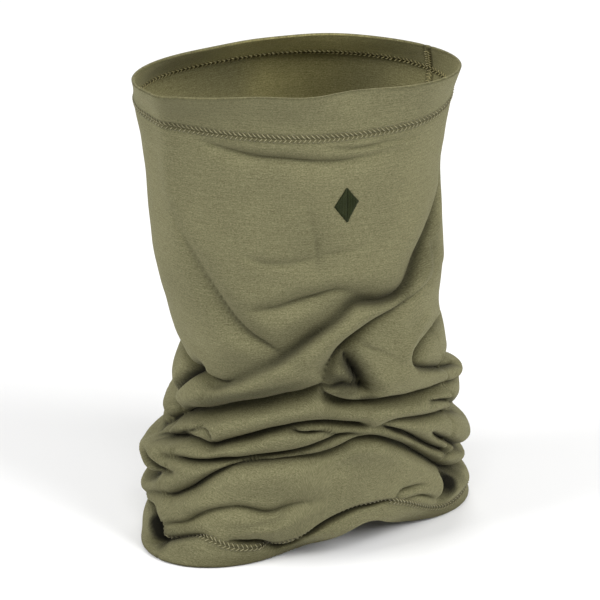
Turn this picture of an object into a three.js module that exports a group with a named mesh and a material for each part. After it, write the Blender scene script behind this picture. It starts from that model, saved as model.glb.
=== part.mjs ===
// Neck gaiter: a seamed tube of fine jersey knit, standing on its lower hem.
// The tube is one rectangular panel whose two long edges butt at the side seam,
// with a band turned over at each end. Threads are separate solids laid on the
// cloth. Millimetres, +Z up, origin at the centre of the bounding box's base.
import * as THREE from 'three';

// ---- driving dimensions (mm) -------------------------------------------
const RIM_Z = 309;              // height of the upper turned edge
const TOP_STITCH_Z = 284.5;     // mean height of the upper hem stitching
const PANEL_T = 1.0;            // single jersey, drawn slightly full
const HEM_T = 1.8;              // two layers of jersey
const CLEAR = 0.3;              // gap between neighbouring solids
const THREAD_T = 0.6;           // thickness of a laid thread
const SEAM_ANGLE = 23;          // degrees from +X toward +Y
const SEAM_GAP = 0.5;           // butt gap between the panel's long edges
const COVER_HALF = 2.0;         // half width of the cover thread's band
const NEEDLE_IN = 2.35;         // needle rows, inner and outer limits from
const NEEDLE_OUT = 2.95;        //   the stitching's centre line
const LOOPER_HALF = 2.9;        // half width of the looper thread's band
const MARK_X = 27.5;            // embroidered lozenge: centre and half sizes
const MARK_Z = 239;
const MARK_HALF_W = 7.8;
const MARK_HALF_H = 11.2;
const ORIGIN_X = 4.0994;         // centre of the bounding box in the table's frame
const ORIGIN_Y = 16.79;
const AROUND = 48;              // facets around
const ROWS = 34;                // facets up the panel
const ROW_GRADE = 1.45;         // rows stand closer together low down

// ---- girth table (cm): height, centre x, centre y, then Fourier radii ---
const GIRTH = [
  [0.0, 0.3, 1.7, 7.899, -0.5192, 0.8611, 1.6397, 2.1685, 0.3726, -0.0584, -0.1469, 0.535, 0.2481, 0.1465],
  [2.4, 0.35, 1.6, 8.3752, 0, 0, 1.4777, 1.2399, 0, 0, 0.0584, 0.331, 0, 0],
  [5.2, 0.375, 1.5, 8.2735, 0, 0, 1.4676, 0.917, 0, 0, 0.1196, 0.2452, 0, 0],
  [7.6, 0.6, 1.55, 8.1706, 0, 0, 1.1503, 0.4187, 0, 0, 0.1053, 0.0884, 0, 0],
  [10.0, 0.85, 1.575, 8.0669, 0, 0, 0.8009, 0.2297, 0, 0, 0.0538, 0.0336, 0, 0],
  [12.2, 0.85, 1.55, 7.8316, 0, 0, 0.396, 0.0842, 0, 0, 0.015, 0.0067, 0, 0],
  [13.8, 0.475, 1.5, 7.8162, 0, 0, 0.433, 0.0763, 0, 0, 0.0181, 0.0066, 0, 0],
  [15.6, 0.175, 1.375, 7.7521, 0, 0, 0.6663, 0.1175, 0, 0, 0.0414, 0.0151, 0, 0],
  [19.3, -0.125, 1.25, 7.6321, 0, 0, 1.089, 0.2315, 0, 0, 0.1111, 0.0495, 0, 0],
  [24.7, -0.4, 1.3, 7.553, 0, 0, 1.2425, 0.2641, 0, 0, 0.1467, 0.0653, 0, 0],
  [28.45, -0.415, 1.15, 7.5544, 0, 0, 1.642, 0.349, 0, 0, 0.2573, 0.1146, 0, 0],
  [30.9, -0.2, 0.0, 6.9288, 0.1099, -0.3142, 1.9674, 0.9289, 0.1249, -0.4036, 0.4077, 0.3107, 0.1944, -0.2558],
];

// ---- tuck lines of the scrunched lower half ------------------------------
// Each line: angle (deg) and height (cm) pairs round the tube, depth (cm) and
// half width (cm). The cloth dips in along the line between two soft rolls.
const TUCKS = [
  { line: [[0, 15.2], [60, 13.4], [130, 12.6], [180, 12.2], [215, 11.4], [270, 12.0], [310, 14.4], [335, 16.0], [360, 15.2]], depth: 0.75, half: 0.75 },
  { line: [[0, 10.3], [60, 10.6], [130, 10.2], [180, 9.1], [215, 9.2], [270, 10.0], [310, 10.6], [335, 10.6], [360, 10.3]], depth: 0.8, half: 0.7 },
  { line: [[0, 7.4], [60, 7.9], [130, 7.6], [180, 6.7], [215, 7.4], [270, 7.9], [310, 8.6], [335, 8.2], [360, 7.4]], depth: 0.8, half: 0.65 },
  { line: [[0, 4.9], [60, 5.3], [130, 5.0], [180, 4.0], [215, 4.9], [250, 6.2], [270, 7.0], [300, 7.6], [335, 6.0], [360, 4.9]], depth: 0.7, half: 0.6 },
  { line: [[0, 3.6], [60, 3.6], [130, 3.6], [180, 3.5], [215, 3.6], [270, 3.8], [310, 4.3], [335, 4.1], [360, 3.6]], depth: 0.45, half: 0.42 },
];

const rad = (d) => (d * Math.PI) / 180;

// Monotone cubic interpolation of ys over xs.
function pchip(xs, ys, x) {
  const n = xs.length;
  const h = [];
  const d = [];
  for (let i = 0; i < n - 1; i++) {
    h.push(xs[i + 1] - xs[i]);
    d.push((ys[i + 1] - ys[i]) / h[i]);
  }
  const m = new Array(n).fill(0);
  for (let i = 1; i < n - 1; i++) m[i] = d[i - 1] * d[i] > 0 ? (2 * d[i - 1] * d[i]) / (d[i - 1] + d[i]) : 0;
  m[0] = d[0];
  m[n - 1] = d[n - 2];
  const xx = Math.min(Math.max(x, xs[0]), xs[n - 1]);
  let i = 0;
  while (i < n - 2 && xx > xs[i + 1]) i++;
  const t = (xx - xs[i]) / h[i];
  return (2 * t ** 3 - 3 * t ** 2 + 1) * ys[i] + (t ** 3 - 2 * t ** 2 + t) * h[i] * m[i]
    + (-2 * t ** 3 + 3 * t ** 2) * ys[i + 1] + (t ** 3 - t ** 2) * h[i] * m[i + 1];
}

const HEIGHTS = GIRTH.map((g) => g[0]);
const COLUMNS = GIRTH[0].slice(1).map((_, k) => GIRTH.map((g) => g[k + 1]));

function smooth(a, b, x) {
  const t = Math.min(Math.max((x - a) / (b - a), 0), 1);
  return t * t * (3 - 2 * t);
}

// Height of a tuck line (cm) at an angle (degrees, 0..360).
function lineHeight(line, deg) {
  for (let i = 0; i < line.length - 1; i++) {
    const [a0, z0] = line[i];
    const [a1, z1] = line[i + 1];
    if (deg >= a0 && deg <= a1) {
      const t = smooth(a0, a1, deg);
      return z0 + (z1 - z0) * t;
    }
  }
  return line[0][1];
}

// Middle surface of the cloth, in mm, before the origin is moved.
function middle(theta, zmm) {
  const z = zmm / 10;
  const p = COLUMNS.map((c) => pchip(HEIGHTS, c, z));
  let r = p[2];
  for (let k = 1; k <= 5; k++) r += p[1 + 2 * k] * Math.cos(k * theta) + p[2 + 2 * k] * Math.sin(k * theta);
  let deg = (theta * 180) / Math.PI % 360;
  if (deg < 0) deg += 360;
  for (const tuck of TUCKS) {
    const s = (z - lineHeight(tuck.line, deg)) / tuck.half;
    r -= tuck.depth * Math.exp(-s * s);
  }
  return new THREE.Vector3(10 * (p[0] + r * Math.cos(theta)), 10 * (p[1] + r * Math.sin(theta)), zmm);
}

function outward(theta, z) {
  const e = 1e-3;
  const a = middle(theta + e, z).sub(middle(theta - e, z));
  const b = middle(theta, z + 0.5).sub(middle(theta, z - 0.5));
  return a.cross(b).normalize();
}

// Point on the cloth at a distance along its outward normal.
function at(theta, z, off) {
  return middle(theta, z).addScaledVector(outward(theta, z), off);
}

// Heights round the lower hem against the angle (deg, mm). Its edge is flat on
// the ground but for an arch at the front right; its stitching runs low where
// the band flares out on the ground, left of the front and at the right.
const HEM_EDGE = [[0, 0], [250, 0], [262, 3], [273, 9.5], [284, 17], [296, 21.5], [305, 22], [314, 20.5], [325, 15],
  [336, 8], [345, 3], [354, 0], [360, 0]];
const HEM_STITCH = [[0, 10], [12, 10], [24, 10.5], [36, 12.5], [48, 17], [62, 22], [90, 23.5], [135, 23.5], [165, 21], [178, 15.5],
  [190, 11], [205, 12], [214, 16], [222, 19.5], [231, 19], [241, 14.5], [250, 13], [260, 15], [272, 21], [284, 29],
  [296, 34.5], [306, 36], [316, 34.5], [328, 27.5], [338, 18.5], [346, 13], [354, 10.5], [360, 10]];
function tableAt(table, theta) {
  let deg = (theta * 180) / Math.PI % 360;
  if (deg < 0) deg += 360;
  return lineHeight(table, deg);
}
const hemLift = (theta) => tableAt(HEM_EDGE, theta);
const lowStitch = (theta) => tableAt(HEM_STITCH, theta);
const topStitch = (theta) => TOP_STITCH_Z + 2.5 * Math.sin(theta) - 2.0 * Math.cos(theta);

const THETA0 = rad(SEAM_ANGLE);
const HALF_GAP = SEAM_GAP / 2 / 88;
// Columns stand close to the butted edges, so that the seam's threads follow them.
const EDGE_COLUMN = 0.042;
const angles = [THETA0 + HALF_GAP];
for (let i = 0; i <= AROUND - 2; i++) angles.push(THETA0 + EDGE_COLUMN + (i * (2 * Math.PI - 2 * EDGE_COLUMN)) / (AROUND - 2));
angles.push(THETA0 + 2 * Math.PI - HALF_GAP);

function material(color, roughness) {
  return new THREE.MeshStandardMaterial({ color, roughness, metalness: 0, flatShading: true });
}

// Solid between two sheets of points, outer[i][j] and inner[i][j]; closed all
// round its border, or joined end to end when wrap is set.
function shell(outer, inner, wrap) {
  const n = outer.length;
  const m = outer[0].length;
  const pos = [];
  for (const sheet of [outer, inner]) for (const row of sheet) for (const p of row) pos.push(p.x - ORIGIN_X, p.y - ORIGIN_Y, p.z);
  const O = (i, j) => (i % n) * m + j;
  const I = (i, j) => n * m + (i % n) * m + j;
  const idx = [];
  const quad = (a, b, c, d) => idx.push(a, b, c, a, c, d);
  const last = wrap ? n : n - 1;
  for (let i = 0; i < last; i++) {
    for (let j = 0; j < m - 1; j++) {
      quad(O(i, j), O(i + 1, j), O(i + 1, j + 1), O(i, j + 1));
      quad(I(i, j), I(i, j + 1), I(i + 1, j + 1), I(i + 1, j));
    }
    quad(O(i, 0), I(i, 0), I(i + 1, 0), O(i + 1, 0));
    quad(O(i, m - 1), O(i + 1, m - 1), I(i + 1, m - 1), I(i, m - 1));
  }
  if (!wrap) {
    for (let j = 0; j < m - 1; j++) {
      quad(O(0, j), O(0, j + 1), I(0, j + 1), I(0, j));
      quad(O(n - 1, j), I(n - 1, j), I(n - 1, j + 1), O(n - 1, j + 1));
    }
  }
  const g = new THREE.BufferGeometry();
  g.setAttribute('position', new THREE.Float32BufferAttribute(pos, 3));
  g.setIndex(idx);
  g.computeVertexNormals();
  return g;
}

const gaiter = new THREE.Group();
function add(name, geometry, mat) {
  const mesh = new THREE.Mesh(geometry, mat);
  mesh.name = name;
  gaiter.add(mesh);
  return mesh;
}

// ---- cloth -----------------------------------------------------------------
const OLIVE = '#7f7a5c';
const OLIVE_HEM = '#7a7558';
const THREAD = '#8f8a68';
const THREAD_DARK = '#5f5b3f';
const MARK = '#34382a';

// Rows stand close to each edge, so that the threads laid there follow the facets.
const EDGE_ROW = NEEDLE_OUT + 0.4;
function rowHeights(a, b, rows) {
  const zs = [a];
  const grade = rows > 10 ? ROW_GRADE : 1;
  for (let j = 0; j <= rows - 2; j++) zs.push(a + EDGE_ROW + (b - a - 2 * EDGE_ROW) * (j / (rows - 2)) ** grade);
  zs.push(b);
  return zs;
}
function clothSheet(zLow, zHigh, rows, off) {
  return angles.map((t) => rowHeights(zLow(t), zHigh(t), rows).map((z, j) => {
    const p = at(t, z, off);
    if (j === 0 || j === rows) p.z = z;
    return p;
  }));
}

const panelLow = (t) => lowStitch(t) + CLEAR / 2;
const panelHigh = (t) => topStitch(t) - CLEAR / 2;
add('knit_panel', shell(
  clothSheet(panelLow, panelHigh, ROWS, PANEL_T / 2),
  clothSheet(panelLow, panelHigh, ROWS, -PANEL_T / 2), false), material(OLIVE, 0.95));

add('top_hem', shell(
  clothSheet((t) => topStitch(t) + CLEAR / 2, () => RIM_Z, 3, HEM_T / 2),
  clothSheet((t) => topStitch(t) + CLEAR / 2, () => RIM_Z, 3, -HEM_T / 2), false), material(OLIVE_HEM, 0.95));

add('bottom_hem', shell(
  clothSheet(hemLift, (t) => lowStitch(t) - CLEAR / 2, 3, HEM_T / 2),
  clothSheet(hemLift, (t) => lowStitch(t) - CLEAR / 2, 3, -HEM_T / 2), false), material(OLIVE_HEM, 0.95));

// ---- hem stitching: two needle rows and a cover thread outside, a looper inside
function ringThread(centre, from, to, offLow, offHigh) {
  const rows = to - from > 3 ? [from, from / 2 + to / 2, to] : [from, to];
  const sheet = (off) => angles.map((t) => rows.map((d) => {
    const z = centre(t) + d;
    return at(t, z, off);
  }));
  return shell(sheet(offHigh), sheet(offLow), true);
}
const HEM_FACE = HEM_T / 2 + CLEAR;
function hemStitches(prefix, centre) {
  const out = [HEM_FACE, HEM_FACE + THREAD_T];
  add(`${prefix}_needle_thread_upper`, ringThread(centre, NEEDLE_IN, NEEDLE_OUT, ...out), material(THREAD_DARK, 0.8));
  add(`${prefix}_needle_thread_lower`, ringThread(centre, -NEEDLE_OUT, -NEEDLE_IN, ...out), material(THREAD_DARK, 0.8));
  add(`${prefix}_cover_thread`, ringThread(centre, -COVER_HALF, COVER_HALF, ...out), material(THREAD, 0.8));
  add(`${prefix}_looper_thread`, ringThread(centre, -LOOPER_HALF, LOOPER_HALF, -HEM_FACE - THREAD_T, -HEM_FACE), material(THREAD, 0.8));
}
hemStitches('top_hem', topStitch);
hemStitches('bottom_hem', lowStitch);

// ---- side seam: flat seam bridging the butted edges ---------------------------
function seamThread(from, to, offLow, offHigh) {
  const zs = rowHeights(panelLow(THETA0), panelHigh(THETA0), ROWS).slice(1, -1);
  const steps = from < 0 && to > 0 ? [from, 1e-6, to] : [from, to];
  const sheet = (off) => steps.map((d) => zs.map((z) => {
    const edge = at(THETA0, z, off);
    const side = at(THETA0 + Math.sign(d) * EDGE_COLUMN, z, off);
    return edge.lerp(side, Math.abs(d) / edge.distanceTo(side));
  }));
  return shell(sheet(offHigh), sheet(offLow), false);
}
const SEAM_FACE = PANEL_T / 2 + 0.4;
add('side_seam_needle_thread_a', seamThread(-NEEDLE_OUT, -NEEDLE_IN, SEAM_FACE, SEAM_FACE + THREAD_T), material(THREAD_DARK, 0.8));
add('side_seam_needle_thread_b', seamThread(NEEDLE_IN, NEEDLE_OUT, SEAM_FACE, SEAM_FACE + THREAD_T), material(THREAD_DARK, 0.8));
add('side_seam_cover_thread', seamThread(-COVER_HALF, COVER_HALF, SEAM_FACE, SEAM_FACE + THREAD_T), material(THREAD, 0.8));
add('side_seam_looper_thread', seamThread(-LOOPER_HALF, LOOPER_HALF, -SEAM_FACE - THREAD_T, -SEAM_FACE), material(THREAD, 0.8));

// ---- embroidered lozenge and the backing behind it ---------------------------
// Angle at which the cloth's front passes a given x at a given height.
function frontAngle(x, z) {
  let a = rad(200);
  let b = rad(345);
  for (let k = 0; k < 40; k++) {
    const c = (a + b) / 2;
    if (middle(c, z).x < x) a = c; else b = c;
  }
  return (a + b) / 2;
}
function lozenge(halfW, halfH, offLow, offHigh, corners) {
  const rings = 3;
  const outline = [];
  for (let k = 0; k < corners; k++) {
    const t = (k / corners) * 4;
    const s = t - Math.floor(t);
    const q = [[1, 0], [0, 1], [-1, 0], [0, -1], [1, 0]];
    const [x0, z0] = q[Math.floor(t)];
    const [x1, z1] = q[Math.floor(t) + 1];
    outline.push([(x0 + (x1 - x0) * s) * halfW, (z0 + (z1 - z0) * s) * halfH]);
  }
  const pos = [];
  const idx = [];
  const put = (dx, dz, off) => {
    const z = MARK_Z + dz;
    const p = at(frontAngle(MARK_X + dx, z), z, off);
    pos.push(p.x - ORIGIN_X, p.y - ORIGIN_Y, p.z);
    return pos.length / 3 - 1;
  };
  const face = (off) => {
    const c = put(0, 0, off);
    const loops = [];
    for (let r = 1; r <= rings; r++) loops.push(outline.map(([x, z]) => put((x * r) / rings, (z * r) / rings, off)));
    return { c, loops };
  };
  const top = face(offHigh);
  const bot = face(offLow);
  const n = corners;
  for (let k = 0; k < n; k++) {
    const l = (k + 1) % n;
    idx.push(top.c, top.loops[0][k], top.loops[0][l]);
    idx.push(bot.c, bot.loops[0][l], bot.loops[0][k]);
    for (let r = 0; r < rings - 1; r++) {
      idx.push(top.loops[r][k], top.loops[r + 1][k], top.loops[r + 1][l], top.loops[r][k], top.loops[r + 1][l], top.loops[r][l]);
      idx.push(bot.loops[r][k], bot.loops[r + 1][l], bot.loops[r + 1][k], bot.loops[r][k], bot.loops[r][l], bot.loops[r + 1][l]);
    }
    const e = rings - 1;
    idx.push(top.loops[e][k], bot.loops[e][k], bot.loops[e][l], top.loops[e][k], bot.loops[e][l], top.loops[e][l]);
  }
  const g = new THREE.BufferGeometry();
  g.setAttribute('position', new THREE.Float32BufferAttribute(pos, 3));
  g.setIndex(idx);
  g.computeVertexNormals();
  return g;
}
const MARK_FACE = PANEL_T / 2 + 0.45;
add('embroidered_mark', lozenge(MARK_HALF_W, MARK_HALF_H, MARK_FACE, MARK_FACE + 0.8, 24), material(MARK, 0.7));
add('embroidery_backing', lozenge(MARK_HALF_W + 1.5, MARK_HALF_H + 1.8, -MARK_FACE - 0.5, -MARK_FACE, 24), material('#8a8670', 0.9));

export default gaiter;
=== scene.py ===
import bpy
import math
import numpy as np
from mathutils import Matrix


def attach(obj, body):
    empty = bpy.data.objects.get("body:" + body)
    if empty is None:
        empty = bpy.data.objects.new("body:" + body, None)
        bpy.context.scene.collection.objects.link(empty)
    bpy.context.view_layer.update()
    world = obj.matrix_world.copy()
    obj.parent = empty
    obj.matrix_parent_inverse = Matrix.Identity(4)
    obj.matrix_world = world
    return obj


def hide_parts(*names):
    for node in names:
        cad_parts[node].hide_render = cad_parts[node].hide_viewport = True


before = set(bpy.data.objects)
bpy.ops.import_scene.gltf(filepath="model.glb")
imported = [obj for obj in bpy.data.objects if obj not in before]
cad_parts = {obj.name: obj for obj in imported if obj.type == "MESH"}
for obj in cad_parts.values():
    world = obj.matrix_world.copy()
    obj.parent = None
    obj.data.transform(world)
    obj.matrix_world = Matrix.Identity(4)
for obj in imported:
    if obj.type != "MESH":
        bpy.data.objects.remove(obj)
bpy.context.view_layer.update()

# ---------------------------------------------------------------- dimensions
# The folds are laid out in centimetres on the tube's girth table; M turns a
# point of that table into metres in the row frame.
ORIGIN = np.array([0.40994, 1.679, 0.0])
RIM_Z = 30.9
SEAM = math.radians(23.0)
ROUND = 50.0            # nominal girth that the fold table is laid out on
CLOTH_T = 0.07          # one layer of jersey
HEM = 2.35              # depth of a turned hem
RINGS = np.array([[0.0, 0.3, 1.7, 7.899, -0.5192, 0.8611, 1.6397, 2.1685, 0.3726, -0.0584, -0.1469, 0.535, 0.2481, 0.1465],
                  [2.4, 0.35, 1.6, 8.3752, -0.0, 0.0, 1.4777, 1.2399, -0.0, 0.0, 0.0584, 0.331, 0.0, 0.0],
                  [5.2, 0.375, 1.5, 8.2735, -0.0, 0.0, 1.4676, 0.917, 0.0, -0.0, 0.1196, 0.2452, -0.0, 0.0],
                  [7.6, 0.6, 1.55, 8.1706, -0.0, 0.0, 1.1503, 0.4187, -0.0, 0.0, 0.1053, 0.0884, -0.0, -0.0],
                  [10.0, 0.85, 1.575, 8.0669, -0.0, -0.0, 0.8009, 0.2297, 0.0, -0.0, 0.0538, 0.0336, 0.0, -0.0],
                  [12.2, 0.85, 1.55, 7.8316, -0.0, 0.0, 0.396, 0.0842, -0.0, 0.0, 0.015, 0.0067, 0.0, -0.0],
                  [13.8, 0.475, 1.5, 7.8162, -0.0, 0.0, 0.433, 0.0763, 0.0, -0.0, 0.0181, 0.0066, 0.0, 0.0],
                  [15.6, 0.175, 1.375, 7.7521, -0.0, -0.0, 0.6663, 0.1175, 0.0, -0.0, 0.0414, 0.0151, -0.0, 0.0],
                  [19.3, -0.125, 1.25, 7.6321, -0.0, 0.0, 1.089, 0.2315, -0.0, -0.0, 0.1111, 0.0495, 0.0, 0.0],
                  [24.7, -0.4, 1.3, 7.553, 0.0, 0.0, 1.2425, 0.2641, 0.0, 0.0, 0.1467, 0.0653, 0.0, 0.0],
                  [28.45, -0.415, 1.15, 7.5544, 0.0, -0.0, 1.642, 0.349, -0.0, -0.0, 0.2573, 0.1146, -0.0, 0.0],
                  [30.9, -0.2, 0.0, 6.9288, 0.1099, -0.3142, 1.9674, 0.9289, 0.1249, -0.4036, 0.4077, 0.3107, 0.1944, -0.2558]])
DEEP, WIDE, HOOK = 1.35, 1.12, 1.5      # overall depth, width and overhang of the folds
FOLDS = [
    ('roll1_low', [(182.5, 6.6, 0.8), (184.5, 7.0, 1.1), (194.0, 7.9, 1.3), (203.0, 8.8, 1.6), (218.5, 9.8, 1.7), (229.5, 10.5, 1.7), (243.0, 11.1, 1.6), (255.0, 11.6, 1.5), (264.5, 11.9, 1.3), (272.0, 12.4, 0.9), (276.0, 12.6, 0.5)], 0.95, 1.15, 0.28, 0.5),
    ('body_low', [(216.5, 11.3, 0.3), (222.5, 11.6, 0.5), (231.5, 12.3, 0.6), (246.0, 13.4, 0.6), (257.0, 14.2, 0.8), (268.0, 15.1, 0.9), (279.0, 16.0, 0.8), (289.5, 16.8, 0.7), (297.5, 17.5, 0.75), (305.5, 17.5, 0.9), (313.5, 17.4, 1.0), (325.0, 17.6, 1.1), (333.5, 18.6, 0.95), (342.0, 19.9, 0.8), (353.0, 21.3, 0.6), (1.0, 22.6, 0.45), (0.5, 24.6, 0.2), (358.5, 25.7, 0)], 1.9, 0.62, -0.15, 0.12),
    ('body_left_edge', [(187.0, 12.5, 0.9), (193.0, 12.3, 1.0), (200.5, 12.0, 1.1), (208.0, 11.9, 1.1), (216.5, 11.9, 1.0), (225.0, 12.0, 0.7), (234.0, 12.5, 0.3)], 0.38, 0.75, 0.2, 0.5),
    ('roll1_topleft', [(193.5, 8.8, 0.4), (196.0, 9.7, 0.8), (200.0, 10.6, 0.9), (205.0, 11.6, 0.9), (212.0, 12.3, 0.6)], 0.75, 0.42, -0.1, 0.5),
    ('soft_fold_a', [(238.5, 17.0, 0.0), (247.5, 17.3, 0.2), (257.5, 17.5, 0.4), (268.0, 17.9, 0.5), (278.5, 18.2, 0.48), (289.0, 18.5, 0.4), (297.0, 18.3, 0.36), (304.0, 17.8, 0.45)], 1.0, 1.5, 0, 0.5),
    ('soft_groove', [(208.0, 24.0, 0), (213.0, 22.0, 0.16), (220.5, 19.8, 0.32), (227.5, 18.2, 0.44), (235.5, 16.6, 0.54), (243.5, 15.6, 0.58), (252.0, 15.0, 0.6), (259.5, 14.5, 0.55)], 1.7, 1.5, 0, 0.5),
    ('roll1_low_right', [(274.0, 12.5, 0.5), (277.5, 13.4, 0.55), (282.0, 14.1, 0.75), (286.5, 14.6, 0.95), (295.5, 15.4, 0.95), (305.0, 16.1, 0.75), (315.5, 16.5, 0.6), (323.0, 16.8, 0.5), (330.0, 17.0, 0.4), (338.5, 17.4, 0.25), (349.5, 17.7, 0.1), (358.5, 17.8, 0)], 1.1, 0.9, 0.05, 0.5),
    ('pocket_fold', [(286.5, 14.8, 0.35), (289.0, 14.3, 0.8), (291.0, 13.5, 1.15), (293.0, 12.7, 1.35), (296.0, 11.9, 1.2), (296.0, 11.9, 0.3)], 1.15, 0.95, 0, 0.08),
    ('pocket_floor', [(272.5, 12.5, 0.35), (277.0, 12.5, 0.65), (283.0, 12.5, 0.95), (289.5, 12.2, 1.15), (294.0, 11.9, 1.0), (295.5, 11.9, 0.3)], 0.9, 0.3, -0.05, 0.2),
    ('flap_edge', [(294.5, 15.5, 0.3), (299.0, 15.0, 0.22), (304.0, 14.5, 0.16), (308.0, 14.2, 0.1), (313.5, 13.6, 0.04)], 0.2, 1.0, 0, 0.1),
    ('band_low', [(274.0, 12.4, 0.4), (276.0, 11.9, 0.9), (279.5, 11.5, 1.2), (286.0, 11.2, 1.3), (297.0, 11.0, 1.35), (308.5, 10.9, 1.35), (317.5, 10.7, 1.35), (324.0, 10.6, 1.3), (333.0, 10.4, 1.05), (343.5, 10.2, 0.75), (357.5, 9.6, 0.5), (3.5, 9.5, 0.2)], 0.55, 0.85, 0.2, 0.5),
    ('hook_edge', [(359.5, 14.7, 0.6), (0.5, 14.0, 0.8), (345.0, 14.2, 0.95), (335.0, 14.0, 1.0), (328.5, 13.6, 1.0), (324.5, 13.2, 1.0), (323.0, 12.7, 0.8), (326.0, 12.3, 0.7), (336.0, 11.7, 0.7), (349.0, 11.0, 0.8), (1.5, 10.3, 0.8)], 0.85, 0.3, 0, 0.5),
    ('roll2_low', [(191.0, 6.6, 0.7), (196.0, 6.9, 1.1), (200.5, 7.0, 1.5), (208.5, 7.4, 1.1), (216.5, 7.6, 1.0), (223.0, 7.5, 1.1), (229.5, 8.0, 1.2), (236.5, 8.4, 1.4), (243.0, 8.8, 1.4), (249.0, 9.2, 1.2), (256.0, 9.5, 1.0), (263.5, 9.8, 0.8), (273.0, 9.9, 0.85), (283.5, 9.7, 1.0), (292.0, 9.5, 0.9), (297.5, 9.3, 0.4), (301.0, 9.3, 0)], 0.85, 0.55, 0.22, 0.5),
    ('hole', [(197.5, 7.1, 0.4), (196.0, 6.9, 1.2), (199.5, 7.1, 1.5), (204.5, 7.3, 1.3), (210.5, 7.7, 0.5)], 0.46, 0.36, -0.12, 0.5),
    ('roll2_notch', [(206.5, 7.8, 0.7), (212.0, 8.2, 0.6), (217.0, 8.6, 0.55), (220.0, 8.6, 0.5), (222.0, 8.3, 0.5), (223.5, 7.9, 0.5)], 0.2, 0.45, 0.05, 0.5),
    ('left_crescent', [(192.5, 5.8, 0.2), (194.0, 5.5, 0.6), (198.5, 5.3, 0.85), (204.0, 5.2, 0.9), (209.5, 5.3, 0.6), (213.5, 5.5, 0.1)], 0.55, 0.26, 0.1, 0.3),
    ('roll2b_low', [(257.0, 9.5, 0.1), (260.0, 9.4, 0.5), (265.0, 9.3, 0.8), (273.5, 9.3, 0.55), (281.0, 9.1, 0.5), (288.5, 9.0, 0.45), (296.0, 8.9, 0.3), (299.0, 9.0, 0)], 0.28, 0.4, 0.08, 0.5),
    ('roll3_low', [(202.0, 6.2, 0.15), (205.5, 6.1, 0.5), (211.5, 6.3, 0.7), (218.0, 6.4, 1.0), (224.0, 6.6, 1.0), (230.5, 6.9, 0.95), (237.0, 7.1, 0.9), (244.5, 7.4, 0.9), (255.5, 7.7, 0.85), (265.0, 8.0, 0.8), (273.0, 8.4, 0.75), (279.5, 8.7, 0.75), (284.5, 8.9, 0.7), (290.0, 8.9, 0.5), (295.0, 8.8, 0.3)], 0.6, 0.5, 0.15, 0.5),
    ('front_top', [(191.5, 2.6, 0.25), (202.5, 3.4, 0.5), (208.5, 3.7, 0.65), (212.5, 3.9, 0.9), (219.0, 4.6, 1.0), (222.5, 5.1, 1.0), (226.5, 5.7, 0.95), (230.0, 6.1, 0.9), (234.5, 6.5, 0.85), (240.0, 6.8, 0.8), (246.5, 7.0, 0.75), (255.5, 7.2, 0.7), (265.5, 7.4, 0.7), (273.0, 7.5, 0.7), (279.5, 7.7, 0.75), (285.5, 8.0, 0.8), (290.5, 8.3, 0.85), (295.5, 8.4, 0.95), (301.5, 8.3, 1.0), (309.5, 7.9, 1.0), (323.0, 6.9, 1.05), (337.5, 5.4, 1.1), (346.0, 4.4, 1.1), (354.0, 3.5, 1.1), (357.5, 3.2, 0.6)], 0.85, 0.8, 0.16, 0.4),
    ('right_a', [(301.5, 9.2, 0.1), (307.0, 9.0, 0.6), (313.0, 8.6, 0.95), (320.0, 8.1, 1.1), (326.5, 7.5, 1.15), (333.5, 6.8, 1.1), (341.0, 6.0, 1.0), (348.0, 5.3, 0.9), (350.0, 4.9, 0.6), (349.0, 4.7, 0.2)], 0.45, 0.42, 0.12, 0.5),
    ('right_b', [(299.0, 9.1, 0.1), (303.5, 9.2, 0.35), (309.5, 9.3, 0.5), (316.5, 9.2, 0.6), (325.5, 8.9, 0.7), (334.5, 8.6, 0.7), (345.0, 8.2, 0.65), (6.0, 6.7, 0.6)], 0.6, 0.65, 0.12, 0.5),
    ('right_notch', [(330.5, 9.6, 0.2), (332.5, 9.7, 0.45), (338.0, 9.5, 0.6), (346.0, 9.0, 0.65), (357.0, 8.3, 0.5)], 0.25, 0.3, 0.05, 0.5),
    ('right_hook', [(335.0, 7.5, 0.3), (342.5, 6.7, 0.8), (349.0, 6.0, 0.95), (356.0, 5.2, 0.9), (8.0, 4.1, 0.8)], 0.3, 0.42, 0.1, 0.5),
    ('hem_soft_left', [(210.0, 1.8, 0.3), (215.0, 2.2, 0.42), (220.0, 2.5, 0.45), (223.5, 3.0, 0.5), (227.5, 3.5, 0.5), (232.5, 3.8, 0.5), (239.0, 4.0, 0.45), (244.5, 3.9, 0.45), (249.5, 3.7, 0.5), (254.0, 3.7, 0.45), (259.5, 4.0, 0.35), (267.0, 4.3, 0.2), (275.0, 4.4, 0.1)], 0.6, 1.1, 0.0, 0.2),
    ('hem_soft_line', [(235.0, 2.7, 0.05), (240.5, 2.9, 0.2), (246.5, 3.1, 0.25), (252.0, 3.2, 0.28), (256.0, 3.3, 0.25), (260.0, 3.7, 0.15)], 0.25, 0.45, 0.0, 0.5),
    ('hem_over', [(236.0, 1.8, 0.1), (239.5, 1.8, 0.35), (244.0, 1.7, 0.5), (248.0, 1.7, 0.55), (252.5, 1.3, 0.6), (257.5, 1.0, 0.7), (263.0, 1.2, 0.75), (268.0, 1.8, 0.8), (277.0, 2.5, 0.85), (284.0, 2.9, 0.85), (291.5, 3.2, 0.8), (299.0, 3.4, 0.7), (306.5, 3.4, 0.6), (313.5, 3.4, 0.5), (317.5, 3.4, 0.2)], 0.42, 0.28, 0.12, 0.5),
    ('notch_pocket', [(321.0, 3.4, 0.2), (321.5, 3.7, 0.4), (324.0, 3.9, 0.5), (327.5, 3.9, 0.45), (331.5, 3.9, 0.3), (335.5, 3.7, 0.1)], 0.25, 0.35, 0, 0.5),
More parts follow.
